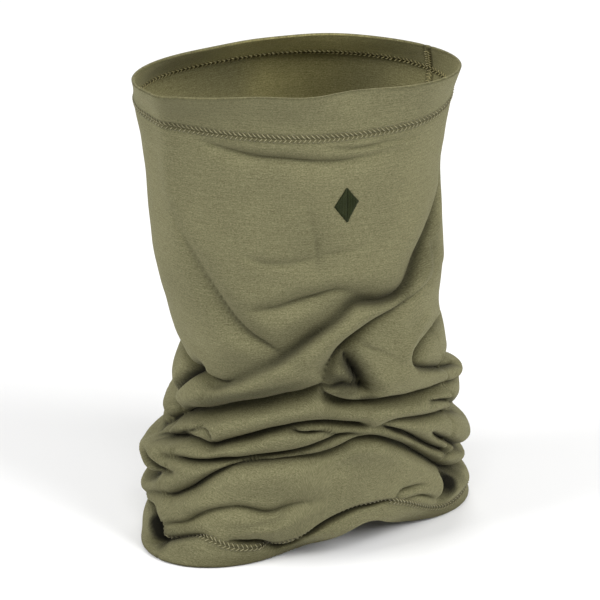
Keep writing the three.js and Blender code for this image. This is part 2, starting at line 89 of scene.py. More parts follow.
    ('notch_line', [(323.5, 3.2, 0.1), (329.0, 3.1, 0.3), (334.0, 3.0, 0.35), (339.0, 2.6, 0.3), (344.5, 2.0, 0.15)], 0.25, 0.3, 0, 0.5),
    ('under_top_hem', [(224.0, 27.9, 0.0), (230.0, 27.6, 0.2), (239.0, 27.3, 0.32), (251.5, 27.0, 0.38), (266.0, 26.9, 0.36), (280.5, 26.7, 0.36), (295.5, 26.6, 0.3), (307.0, 26.7, 0.22), (318.5, 26.8, 0.12), (332.0, 26.7, 0.0)], 0.8, 1.3, 0.04, 0.5),
    ('under_top_hem_b', [(285.5, 27.6, 0.0), (295.5, 27.4, 0.14), (307.5, 27.3, 0.2), (318.5, 27.4, 0.18), (328.0, 27.4, 0.1), (336.0, 27.4, 0.0)], 0.35, 0.6, 0, 0.5),
    ('side_dip', [(276.0, 24.7, 0.0), (278.5, 23.4, 0.16), (281.0, 21.8, 0.26), (281.0, 20.4, 0.2), (280.5, 19.3, 0)], 1.1, 1.1, 0, 0.5),
    ('right_panel_dip', [(343.0, 23.0, 0.0), (345.0, 21.2, 0.22), (346.5, 19.2, 0.34), (342.5, 17.7, 0.3), (335.0, 16.8, 0)], 1.3, 0.9, 0, 0.5),
    ('belly_dip', [(240.0, 21.0, 0.0), (252.5, 20.4, 0.16), (266.5, 20.4, 0.18), (282.5, 20.8, 0.14), (299.5, 21.0, 0.1), (312.0, 21.4, 0)], 0.9, 1.1, 0, 0.5),
    ('hem_left_hollow', [(209.0, 0.62, 0.3), (212.0, 0.8, 0.75), (216.0, 1.2, 0.8), (221.0, 1.62, 0.65), (226.0, 1.92, 0.45), (230.0, 2.08, 0.1)], 0.6, 0.32, -0.2, 0.45),
    ('left_slot', [(204.0, 2.75, 0.3), (206.0, 2.4, 0.9), (208.0, 2.05, 1.25), (210.0, 1.7, 1.45), (212.0, 1.35, 1.5), (214.0, 1.08, 1.2), (216.5, 0.98, 0.3)], 0.28, 0.6, 0, 0.3),
    ('left_inset', [(170.0, 1.8, 0.0), (179.0, 1.9, 0.25), (190.0, 1.9, 0.38), (200.0, 2.0, 0.38), (208.0, 2.2, 0.25), (214.0, 2.4, 0.0)], 0.9, 1.0, 0, 0.45),
    ('right_slot', [(-13.5, 3.75, 0.4), (-12.3, 3.35, 1.0), (-11.3, 2.95, 1.4), (-11.0, 2.55, 1.5), (-11.6, 2.15, 1.2), (-13.5, 1.9, 0.3)], 0.85, 0.3, 0, 0.3),
    ('back_1', [(10.0, 14.3, 0.5), (30.0, 14.2, 0.8), (55.0, 13.6, 0.9), (85.0, 13.2, 1.0), (115.0, 13.5, 1.0), (145.0, 13.0, 1.0), (165.0, 12.6, 1.0), (182.0, 12.3, 1.0)], 0.9, 0.8, 0.15, 0.45),
    ('back_2', [(-11.0, 11.2, 0.8), (-2.0, 11.1, 0.9), (10.0, 10.8, 0.9), (28.0, 10.3, 1.0), (50.0, 10.4, 1.1), (80.0, 10.5, 1.1), (110.0, 10.1, 1.1), (140.0, 9.2, 1.1), (165.0, 8.1, 1.1), (182.0, 7.4, 1.1), (193.0, 7.2, 1.0)], 0.85, 0.85, 0.2, 0.45),
    ('back_3', [(-9.0, 8.3, 0.9), (-3.0, 7.9, 0.95), (2.0, 7.45, 1.0), (8.0, 6.9, 1.0), (14.0, 6.6, 1.0), (22.0, 6.6, 0.9), (34.0, 7.1, 0.9), (55.0, 7.7, 1.0), (85.0, 7.9, 1.1), (115.0, 7.8, 1.1), (145.0, 7.2, 1.1), (170.0, 6.7, 1.0), (186.0, 6.4, 0.9)], 0.75, 0.75, 0.2, 0.45),
    ('back_4', [(-12.0, 4.7, 0.4), (-6.0, 4.8, 0.6), (0.0, 4.6, 0.85), (6.0, 4.2, 0.95), (12.0, 3.8, 0.95), (20.0, 3.7, 0.95), (30.0, 4.2, 0.95), (50.0, 5.2, 1.0), (85.0, 5.6, 1.0), (115.0, 5.3, 1.1), (145.0, 4.7, 1.1), (170.0, 4.2, 1.0), (186.0, 4.0, 1.2), (196.0, 4.2, 1.1), (203.0, 4.8, 0.7), (207.0, 5.4, 0.3)], 0.7, 0.7, 0.2, 0.45),
    ('back_5', [(-9.0, 3.55, 0.4), (-5.0, 3.35, 1.0), (0.0, 3.05, 1.3), (6.0, 2.72, 1.3), (12.0, 2.4, 1.15), (20.0, 2.2, 0.85), (30.0, 2.5, 0.7), (42.0, 3.1, 0.7), (60.0, 3.4, 0.6), (95.0, 3.5, 0.7), (130.0, 3.3, 0.7), (160.0, 2.9, 0.75), (176.0, 2.6, 0.9), (188.0, 2.5, 1.15), (198.0, 2.5, 1.15), (204.0, 2.6, 0.8), (207.0, 2.7, 0.2)], 0.58, 0.5, 0.12, 0.45),
    ('back_diag', [(60.0, 16.0, 0.0), (80.0, 15.4, 0.3), (100.0, 14.6, 0.4), (120.0, 14.0, 0.3)], 1.2, 0.8, 0.0, 0.45),
    ('back_soft1', [(35.0, 24.0, 0.0), (45.0, 20.5, 0.2), (58.0, 17.5, 0.35), (75.0, 15.5, 0.4), (90.0, 14.2, 0.3)], 1.6, 1.6, 0, 0.45),
    ('back_soft2', [(150.0, 22.0, 0.0), (140.0, 18.5, 0.18), (130.0, 16.0, 0.3), (122.0, 14.4, 0.3)], 1.4, 1.4, 0, 0.45),
    ('back_mid1', [(62.0, 8.9, 0.0), (75.0, 9.1, 0.4), (90.0, 9.2, 0.5), (105.0, 8.9, 0.4), (118.0, 8.4, 0.0)], 0.4, 0.4, 0.05, 0.45),
    ('back_mid2', [(40.0, 6.4, 0.0), (52.0, 6.3, 0.4), (66.0, 6.6, 0.5), (80.0, 6.9, 0.3), (90.0, 7.3, 0.0)], 0.35, 0.35, 0.05, 0.45),
    ('back_mid3', [(125.0, 6.0, 0.0), (135.0, 6.1, 0.4), (148.0, 6.0, 0.5), (160.0, 5.5, 0.3), (168.0, 5.1, 0.0)], 0.35, 0.35, 0.05, 0.45),
]
RIDGES = [
    ('left_corner', [(212.5, 30.8, 0.3), (211.0, 29.4, 0.3), (210.5, 27.7, 0.26), (210.0, 25.8, 0.24), (210.5, 23.5, 0.2), (214.5, 21.1, 0.12), (218.0, 19.4, 0.0)], 0.75),
    ('roll1_crest', [(203.0, 9.8, 0.2), (223.0, 11.2, 0.45), (243.5, 12.8, 0.55), (265.0, 14.3, 0.5), (283.0, 15.6, 0.5), (301.5, 16.8, 0.5), (318.0, 17.4, 0.45), (336.5, 18.2, 0.35), (353.0, 18.3, 0.2)], 0.9),
    ('flap', [(320.0, 16.1, 0.1), (320.0, 14.9, 0.25), (317.0, 14.0, 0.2)], 0.8),
    ('hook_rim', [(339.5, 15.2, 0.15), (328.5, 14.8, 0.3), (321.5, 14.2, 0.35), (318.0, 13.5, 0.3)], 0.35),
    ('band_d', [(297.5, 12.4, 0.2), (309.0, 12.4, 0.35), (324.0, 11.9, 0.35), (343.5, 11.0, 0.3)], 0.7),
    ('lip', [(275.5, 12.5, 0.3), (282.0, 12.4, 0.4), (289.0, 12.2, 0.3)], 0.3),
    ('hem_dome', [(238.0, 2.4, 0.2), (244.5, 2.8, 0.45), (255.0, 2.9, 0.45), (267.0, 3.5, 0.35), (282.5, 4.0, 0.2)], 0.6),
    ('left_back_in', [(166.0, 9.9, -0.3), (176.0, 9.5, -0.65), (186.0, 9.1, -0.7), (194.0, 8.9, -0.5), (200.0, 8.9, -0.1)], 0.8),
    ('left_lobe_a', [(176.0, 5.6, 0.1), (186.0, 5.6, 0.35), (196.0, 5.6, 0.35), (203.0, 5.7, 0.1)], 0.7),
    ('left_lobe_b', [(184.0, 2.75, 0.1), (191.0, 2.8, 0.22), (198.0, 2.85, 0.2), (204.0, 3.0, 0.05)], 0.42),
    ('ear_rim', [(-9.0, 1.75, 0.1), (-3.0, 1.85, 0.3), (3.0, 1.75, 0.36), (10.0, 1.45, 0.3), (18.0, 1.2, 0.1)], 0.5),
    ('right_lobe_a', [(-14.0, 6.5, 0.1), (-8.0, 6.3, 0.35), (0.0, 5.8, 0.42), (6.0, 5.35, 0.4), (14.0, 5.0, 0.2)], 0.8),
    ('right_lobe_b', [(-14.0, 9.7, 0.1), (-8.0, 9.9, 0.35), (2.0, 10.0, 0.45), (14.0, 9.8, 0.2)], 0.7),
]
# Painted shade: hollows darkened along paths of angle, height and amount, with a width.
SHADE_DIMS = [
    ('dim_pocket', [(286.0, 14.5, 0.35), (288.0, 14.0, 0.7), (290.5, 13.4, 0.95), (292.0, 12.7, 1.0), (293.5, 12.3, 0.8), (295.0, 12.1, 0.4)], 0.62),
    ('dim_pocket_left', [(282.5, 14.1, 0.35), (279.0, 13.4, 0.5), (282.5, 12.8, 0.7), (287.0, 12.5, 0.6)], 0.75),
    ('dim_hole', [(196.0, 7.1, 0.6), (197.0, 7.0, 1.15), (203.0, 7.3, 1.15), (209.5, 7.7, 0.6)], 0.3),
    ('dim_under1', [(200.0, 8.8, 0.25), (213.5, 10.1, 0.42), (228.5, 11.1, 0.54), (244.5, 11.9, 0.58), (258.5, 12.4, 0.5), (270.0, 12.9, 0.28)], 0.44),
    ('dim_side', [(351.5, 20.8, 0.14), (345.5, 19.3, 0.32), (338.5, 18.1, 0.2)], 0.8),
    ('dim_front', [(265.0, 23.7, 0.06), (274.0, 22.4, 0.11), (285.0, 21.3, 0.08)], 1.5),
    ('dim_low_left', [(215.5, 5.9, 0.06), (223.5, 6.1, 0.1), (232.5, 6.7, 0.06)], 0.9),
    ('dim_lip', [(277.5, 11.7, 0.4), (287.5, 11.4, 0.6), (301.0, 11.2, 0.7), (315.0, 10.9, 0.75), (327.0, 10.7, 0.6), (337.0, 10.5, 0.3)], 0.22),
    ('dim_roll1', [(194.0, 7.7, 0.3), (208.5, 9.2, 0.5), (229.0, 10.6, 0.6), (245.0, 11.3, 0.6), (258.5, 11.8, 0.5)], 0.25),
    ('dim_left_slot', [(204.0, 2.3, 0.5), (206.5, 1.95, 1.1), (208.7, 1.6, 1.15), (211.0, 1.25, 1.15), (213.5, 1.02, 1.0)], 0.5),
    ('dim_ear', [(-10.5, 3.45, 0.8), (-8.2, 3.0, 1.1), (-7.2, 2.55, 1.1), (-8.0, 2.15, 1.0), (-10.5, 1.95, 0.5)], 0.52),
    ('dim_ear_soft', [(-5.0, 3.1, 0.5), (-2.0, 2.75, 0.5), (0.0, 2.45, 0.35)], 0.6),
    ('dim_left_inset', [(184.0, 4.0, 0.3), (194.0, 4.1, 0.6), (202.0, 4.5, 0.5)], 0.3),
    ('dim_left_notch', [(186.0, 2.5, 0.4), (194.0, 2.5, 0.7), (202.0, 2.55, 0.6)], 0.25),
]


def M(p):
    return (np.asarray(p) - ORIGIN) * 0.01


def pchip(xs, ys, x):
    xs, ys = np.asarray(xs, float), np.asarray(ys, float)
    h = np.diff(xs)
    d = np.diff(ys) / h
    m = np.zeros_like(ys)
    prod = d[:-1] * d[1:]
    m[1:-1] = np.where(prod > 0, 2 * prod / np.where(prod > 0, d[:-1] + d[1:], 1), 0)
    m[0], m[-1] = d[0], d[-1]
    x = np.clip(x, xs[0], xs[-1])
    i = np.clip(np.searchsorted(xs, x) - 1, 0, len(xs) - 2)
    t = (x - xs[i]) / h[i]
    return ((2 * t**3 - 3 * t**2 + 1) * ys[i] + (t**3 - 2 * t**2 + t) * h[i] * m[i]
            + (-2 * t**3 + 3 * t**2) * ys[i + 1] + (t**3 - t**2) * h[i] * m[i + 1])


def base(th, z):
    """The tube before it is folded: x and y at an angle and a height."""
    zt = np.linspace(0, RIM_Z, 620)
    p = [np.interp(np.clip(z, 0, RIM_Z), zt, pchip(RINGS[:, 0], RINGS[:, k], zt)) for k in range(1, RINGS.shape[1])]
    r = p[2] + 0 * th
    for k in range(1, 6):
        r = r + p[1 + 2 * k] * np.cos(k * th) + p[2 + 2 * k] * np.sin(k * th)
    return p[0] + r * np.cos(th), p[1] + r * np.sin(th)


# Angle at a share u of the girth, counted from the side seam, for every height.
TZ = np.linspace(0, RIM_Z, 310)
TT = SEAM + np.linspace(0, 2 * np.pi, 1081)
TU = np.linspace(0, 1, 721)
ANGLE = np.zeros((len(TZ), len(TU)))
SHARE = np.zeros((len(TZ), len(TT)))
for i, z in enumerate(TZ):
    x, y = base(TT, np.full_like(TT, z))
    s = np.r_[0, np.cumsum(np.hypot(np.diff(x), np.diff(y)))]
    s /= s[-1]
    SHARE[i] = s
    ANGLE[i] = np.interp(TU, s, TT)


def bil(T, fi, fj):
    i = np.clip(np.floor(fi).astype(int), 0, T.shape[0] - 2)
    j = np.clip(np.floor(fj).astype(int), 0, T.shape[1] - 2)
    a, b = fi - i, fj - j
    return T[i, j] * (1 - a) * (1 - b) + T[i + 1, j] * a * (1 - b) + T[i, j + 1] * (1 - a) * b + T[i + 1, j + 1] * a * b


def angle_of(u, z):
    k = np.floor(u)
    f = u - k
    return bil(ANGLE, np.clip(z, 0, RIM_Z) / RIM_Z * (len(TZ) - 1), f * (len(TU) - 1)) + 2 * np.pi * k


def share_of(deg, z):
    t = (math.radians(deg) - SEAM) % (2 * math.pi)
    i = int(round(min(max(z, 0), RIM_Z) / RIM_Z * (len(TZ) - 1)))
    return float(np.interp(t + SEAM, TT, SHARE[i]))


def smoothstep(a, b, x):
    t = np.clip((x - a) / (b - a), 0, 1)
    return t * t * (3 - 2 * t)


# Heights of the hem lines against the angle.
STITCH_TABLE = np.array([(0, 1.0), (5, 1.05), (12, 0.95), (20, 0.9), (30, 1.0), (42, 1.5), (54, 2.0), (66, 2.3), (90, 2.35), (135, 2.35), (165, 2.3),
                         (178, 2.3), (189, 2.35), (198, 2.62), (203, 2.66), (206, 2.42), (209, 1.92), (212, 1.35), (214.5, 1.1), (217, 1.3), (222, 1.72),
                         (229, 2.05), (232, 1.9), (236, 1.6), (241, 1.4), (250, 1.25), (258, 1.3), (265, 1.65), (272, 2.25), (280, 2.8),
                         (288, 3.25), (296, 3.5), (306, 3.6), (316, 3.45), (328, 2.75), (337, 1.95), (343, 1.4), (349, 1.0),
                         (354, 0.9), (357, 0.92), (360, 1.0)])
LIFT_TABLE = np.array([(0, 0.0), (245, 0.0), (252, 0.05), (260, 0.2), (267, 0.5), (273, 0.95), (280, 1.45), (288, 1.9), (296, 2.15),
                       (305, 2.2), (314, 2.05), (325, 1.5), (336, 0.8), (345, 0.3), (353, 0.05), (360, 0.0)])


def table_at(T, deg):
    """Smooth periodic interpolation of a table of degrees and values."""
    d = np.arange(0, 360, 1.0)
    v = np.interp(d, T[:, 0], T[:, 1])
    k = np.exp(-0.5 * (np.arange(-9, 10) / 3.0) ** 2)
    k /= k.sum()
    v = np.convolve(np.r_[v[-9:], v, v[:9]], k, "valid")
    return np.interp(deg % 360, np.r_[d, 360], np.r_[v, v[0]])


def lift(th):
    return np.maximum(table_at(LIFT_TABLE, np.degrees(th)), 0.0)


def low_stitch(th):
    return table_at(STITCH_TABLE, np.degrees(th))


TOP_TABLE = np.array([(0, .5), (15, .68), (35, .78), (60, .78), (80, .68), (105, .5), (125, .34), (150, .12), (172, 0.0), (335, 0.0), (348, .16), (360, .5)])


def top_stitch(th):
    return 28.45 + 0.25 * np.sin(th) - 0.20 * np.cos(th) + np.maximum(table_at(TOP_TABLE, np.degrees(th)), 0)


# ------------------------------------------------------------------- folds
def catmull(P, n):
    """A smooth path through the points, n steps to a span."""
    P = np.asarray(P, float)
    Q = np.vstack([2 * P[0] - P[1], P, 2 * P[-1] - P[-2]])
    out = []
    for i in range(1, len(Q) - 2):
        t = np.linspace(0, 1, n, endpoint=False)[:, None]
        a, b, c, d = Q[i - 1], Q[i], Q[i + 1], Q[i + 2]
        out.append(0.5 * (2 * b + (c - a) * t + (2 * a - 5 * b + 4 * c - d) * t**2 + (3 * b - a - 3 * c + d) * t**3))
    out.append(Q[-2][None])
    return np.vstack(out)


def on_table(points):
    """Angle, height, depth -> distance round the table, height, depth."""
    rows = []
    last = None
    for deg, z, dep in points:
        a = share_of(deg, z) * ROUND
        if last is not None:
            while a - last > ROUND / 2:
                a -= ROUND
            while a - last < -ROUND / 2:
                a += ROUND
        last = a
        rows.append((a, z, dep))
    return catmull(rows, 4)


def path_distance(path, a, z, reach):
    """For points (a, z): distance to the path, which side, and the path's third value there."""
    best = np.full(a.shape, 1e9)
    side = np.zeros(a.shape)
    val = np.zeros(a.shape)
    for shift in (-ROUND, 0, ROUND):
        lo, hi = path[:, 0].min() + shift - reach, path[:, 0].max() + shift + reach
        zl, zh = path[:, 1].min() - reach, path[:, 1].max() + reach
        m = (a > lo) & (a < hi) & (z > zl) & (z < zh)
        if not m.any():
            continue
        am, zm = a[m] - shift, z[m]
        bd, bs, bv = best[m], side[m], val[m]
        for p, q in zip(path[:-1], path[1:]):
            dx, dz = q[0] - p[0], q[1] - p[1]
            L = math.hypot(dx, dz) + 1e-9
            rx, rz = am - p[0], zm - p[1]
            t = np.clip((rx * dx + rz * dz) / (L * L), 0, 1)
            ex, ez = rx - t * dx, rz - t * dz
            d = np.hypot(ex, ez)
            cr = (dx * rz - dz * rx) / L
            k = d < bd
            bd = np.where(k, d, bd)
            bs = np.where(k, cr, bs)
            bv = np.where(k, p[2] + (q[2] - p[2]) * t, bv)
        best[m], side[m], val[m] = bd, bs, bv
    return best, side, val


def cushion(q, full):
    """Depth profile from a crease, 1 at the crease to 0 at the crest of the roll beside it; full makes that roll rounder."""
    q = np.clip(q, 0, 1)
    e = 0.012
    tight = 1 - (np.sqrt(q * (2 - q) + e) - math.sqrt(e)) / (math.sqrt(1 + e) - math.sqrt(e))
    return full * tight + (1 - full) * (1 - q) ** 2


FOLD_PATHS = [(on_table(pts), wu, wd, hook, full) for _, pts, wu, wd, hook, full in FOLDS]
SHADE_DIM_PATHS = [(on_table(pts), w) for _, pts, w in SHADE_DIMS]
RIDGE_PATHS = [(on_table(pts), w) for _, pts, w in RIDGES]


def field(a, z):
    """Inward depth, upward shift and painted shade of the cloth at points of the fold table."""
    shape = a.shape
    a, z = a.ravel(), z.ravel()
    P = 3.0
    depth = np.zeros(a.shape)
    up = np.zeros(a.shape)
    line = np.zeros(a.shape)
    for path, wu, wd, hook, full in FOLD_PATHS:
        reach = max(wu, wd) + 0.05
        wu, wd = wu * WIDE, wd * WIDE
        d, s, v = path_distance(path, a, z, reach * WIDE)
        v = v * DEEP
        k = d < reach * WIDE
        if not k.any():
            continue
        # the two sides' widths blend across the crease so that a path's end is round
        f = smoothstep(-1, 1, s[k] / (d[k] + 1e-6))
        w = wd + (wu - wd) * f
        w = w * (0.55 + 0.45 * np.clip(v[k] / 0.7, 0, 1))
        q = np.clip(d[k] / w, 0, 1)
        g = cushion(q, full * (0.6 + 0.4 * f))
        dd = np.maximum(v[k], 0) * g
        depth[k] += dd**P
        # painted shade: a dark line along the bottom of the crease, wider and fainter behind an upturned lip
        tone = 1.0 if hook > -0.12 else 0.74
        line[k] = np.maximum(line[k], tone * np.clip(v[k] / 1.1, 0, 1) ** 1.2 * np.exp(-((d[k] / (0.15 if hook > -0.1 else 0.24 + 0.36 * f)) ** 2)))
        # painted shade: the cloth beside it is darkened as if it turned away from the light, most of all under the roll
        # above
        line[k] = np.maximum(line[k], np.clip(v[k] / 1.1, 0, 1) * (0.02 + 0.27 * f) * np.exp(-((d[k] / (0.62 * w)) ** 2)))
        # the crease tucks up under the roll above it, and that roll sags over it
        # a hollow behind an upturned lip goes down instead
        sag = g**3 - 0.42 * (1 - q * q) ** 2 if hook > 0 else g**2
        up[k] += HOOK * hook * np.maximum(v[k], 0) * sag
        if hook < -0.18:
            up[k] += 0.35 * np.maximum(v[k] - 1.0, 0) * (1 - f) * np.sin(np.pi * np.clip((q - 0.2) / 0.8, 0, 1)) ** 2
    depth = depth ** (1 / P)
    out = np.zeros(a.shape)
    for path, w in RIDGE_PATHS:
        reach = 2.6 * w
        d, s, v = path_distance(path, a, z, reach)
        k = d < reach
        out[k] += v[k] * np.exp(-((d[k] / w) ** 2)) * (1 - smoothstep(2.0, 2.6, d[k] / w))
    # painted shade in places that the cloth round them closes over
    for path, w in SHADE_DIM_PATHS:
        d, s, v = path_distance(path, a, z, 2.6 * w)
        k = d < 2.6 * w
        line[k] = np.maximum(line[k], np.clip(v[k], 0, 1.15) * np.exp(-((d[k] / w) ** 3)))
    return (out - depth).reshape(shape), up.reshape(shape), line.reshape(shape)


def wrinkles(a, z):
    """Fine unevenness of soft cloth, stronger in the scrunched part."""
    rng = np.random.default_rng(7)
    low = 1 - smoothstep(13.0, 18.0, z)
    s = np.zeros(a.shape)
    for k in range(26):
        n = rng.integers(1, 9)
        m = rng.uniform(0.5, 3.2)
        ph = rng.uniform(0, 2 * np.pi)
        tilt = rng.uniform(-1, 1)
        s += np.sin(2 * np.pi * n * a / ROUND + m * z + tilt * np.sin(2 * np.pi * a / ROUND * rng.integers(1, 4) + ph) + ph) / (1 + 0.25 * n + 0.5 * m)
    return s * (0.012 + 0.035 * low)


def gauss2(F, su, sv):
    """Smooths a grid that wraps along its first axis."""
    def ker(s):
        r = max(1, int(3 * s))
        k = np.exp(-0.5 * (np.arange(-r, r + 1) / s) ** 2)
        return k / k.sum(), r
    if su > 0:
        k, r = ker(su)
        G = np.concatenate([F[-r:], F, F[:r]], 0)
        F = sum(k[i] * G[i:i + F.shape[0]] for i in range(2 * r + 1))
    if sv > 0:
        k, r = ker(sv)
        G = np.concatenate([np.repeat(F[:, :1], r, 1), F, np.repeat(F[:, -1:], r, 1)], 1)
        F = sum(k[i] * G[:, i:i + F.shape[1]] for i in range(2 * r + 1))
    return F


def cloth(u, z):
    """Folded cloth's middle surface, in centimetres of the table's frame, with the painted shade as a fourth value. u
    and z are grids, u along the first axis.
    """
    th = angle_of(u, z)
    x, y = base(th, z)
    e = 0.01
    x1, y1 = base(th + e, z)
    x0, y0 = base(th - e, z)
    tx, ty = x1 - x0, y1 - y0
    L = np.hypot(tx, ty)
    nx, ny = ty / L, -tx / L
    D, S, C = field(u * ROUND, z)
    D = gauss2(D, 0.6, 1.2)
    S = gauss2(S, 1.0, 2.0)
    D = D + wrinkles(u * ROUND, z)
    return np.stack([x + nx * D, y + ny * D, z + S, C], -1)


def even(P, n):
    """Resamples each column of a fine grid to n rows evenly spaced along the cloth; also the cloth length up each column."""
    seg = np.linalg.norm(np.diff(P[..., :3], axis=1), axis=2)
    s = np.concatenate([np.zeros((P.shape[0], 1)), np.cumsum(seg, 1)], 1)
    # share of length is smoothed round the tube so that rows run level
    f = s / s[:, -1:]
    out = np.zeros((P.shape[0], n, P.shape[2]))
    t = np.linspace(0, 1, n)
    for i in range(P.shape[0]):
        for c in range(P.shape[2]):
            out[i, :, c] = np.interp(t, f[i], P[i, :, c])
    return out, s[:, -1], f


NV = 214
# columns stand closer at the side seam
near = np.array([0, .06, .12, .18, .24, .30, .38, .48, .62, .80])
SEAM_COLS = len(near) - 1
rest = np.linspace(0.98, 49.0 - 0.98, 224)
u = np.concatenate([near, rest, 49.0 - near[:0:-1]]) / 49.0
NU = len(u)
FINE = 900
w = np.linspace(0, 1, FINE)
thl = angle_of(u, np.full(NU, 2.2))
thh = angle_of(u, np.full(NU, 28.4))
zl, zh = low_stitch(thl), top_stitch(thh)
U = np.repeat(u[:, None], FINE, 1)
Z = zl[:, None] + (zh - zl)[:, None] * w[None]
PANEL, LENGTH, _ = even(cloth(U, Z), NV)
PANEL, PANEL_PAINTED_SHADE = PANEL[..., :3], PANEL[..., 3]
PANEL[..., 2] = np.maximum(PANEL[..., 2], 0.12)
print("cloth length up the tube, cm:", LENGTH.min().round(1), LENGTH.mean().round(1), LENGTH.max().round(1))
HR = 24
wt = np.linspace(0, 1, HR)
Ut = np.repeat(u[:, None], HR, 1)
TOP = cloth(Ut, zh[:, None] + (RIM_Z - zh)[:, None] * wt[None])[..., :3]
zb = lift(angle_of(u, np.zeros(NU)))
# the lower hem hangs from its stitching; where there is too little height for it, the rest turns in under itself
FB = 160
BR = 34
wb = np.linspace(0, 1, FB)
zc = zb + 0.16
STRAIGHT = cloth(np.repeat(u[:, None], FB, 1), zl[:, None] + (zc - zl)[:, None] * wb[None])
left = np.clip(HEM - (zl - zc), 0.22, 1.45)
# little is turned in under the two hollows
deg = np.degrees(angle_of(u, np.zeros(NU))) % 360
left_hollow = smoothstep(176, 188, deg) * (1 - smoothstep(210, 222, deg))
right_hollow = smoothstep(340, 350, deg) + (1 - smoothstep(46, 62, deg)) * (deg < 200)
left = left * (1 - np.maximum(left_hollow, right_hollow)) + 0.24 * np.maximum(left_hollow, right_hollow)
BEND = 0.13
rows = []
ends = STRAIGHT[:, -1, :3].copy()
x1, y1 = ends[:, 0], ends[:, 1]
tan = np.roll(ends, -1, 0) - np.roll(ends, 1, 0)
inw = np.stack([-tan[:, 1], tan[:, 0], 0 * x1], 1)
inw /= np.linalg.norm(inw, axis=1, keepdims=True)
inw = gauss2(inw[:, None, :], 3, 0)[:, 0]
for k in range(1, 41):
    s = left * k / 40
    ang = np.minimum(s / BEND, np.pi * 0.80)
    extra = np.maximum(s - np.pi * 0.80 * BEND, 0)
    dx = BEND * (1 - np.cos(ang)) + extra * math.sin(math.pi * 0.80)
    dz = -BEND * np.sin(ang) - extra * math.cos(math.pi * 0.80) * 0.9
    row = ends + inw * dx[:, None] + np.array([0, 0, 1.0]) * dz[:, None]
    rows.append(np.concatenate([row, np.zeros((NU, 1))], 1))
BFULL = np.concatenate([STRAIGHT, np.stack(rows, 1)], 1)
BFULL[..., 2] = np.maximum(BFULL[..., 2], 0.04)
BOT, _, _ = even(BFULL[:, ::-1], BR)
BOT, BOT_PAINTED_SHADE = BOT[..., :3], BOT[..., 3]


def normals(P, wrap=True):
    du = np.roll(P, -1, 0) - np.roll(P, 1, 0)
    dv = np.gradient(P, axis=1)
    n = np.cross(du, dv)
    return n / (np.linalg.norm(n, axis=2, keepdims=True) + 1e-12)


def mesh_from(name, verts, faces, uvs=None, smooth=True):
    me = bpy.data.meshes.new(name)
    v = np.asarray(verts, np.float64)
    f = np.asarray(faces, np.int32)
    me.vertices.add(len(v))
    me.vertices.foreach_set("co", v.ravel())
    me.loops.add(f.size)
    me.loops.foreach_set("vertex_index", f.ravel())
    me.polygons.add(len(f))
    me.polygons.foreach_set("loop_start", np.arange(len(f)) * f.shape[1])
    me.polygons.foreach_set("use_smooth", np.full(len(f), smooth))
    if uvs is not None:
        lay = me.uv_layers.new(name="UVMap")
        lay.data.foreach_set("uv", np.asarray(uvs, np.float32).ravel())
    me.update()
    me.validate()
    ob = bpy.data.objects.new(name, me)
    bpy.context.scene.collection.objects.link(ob)
    return ob


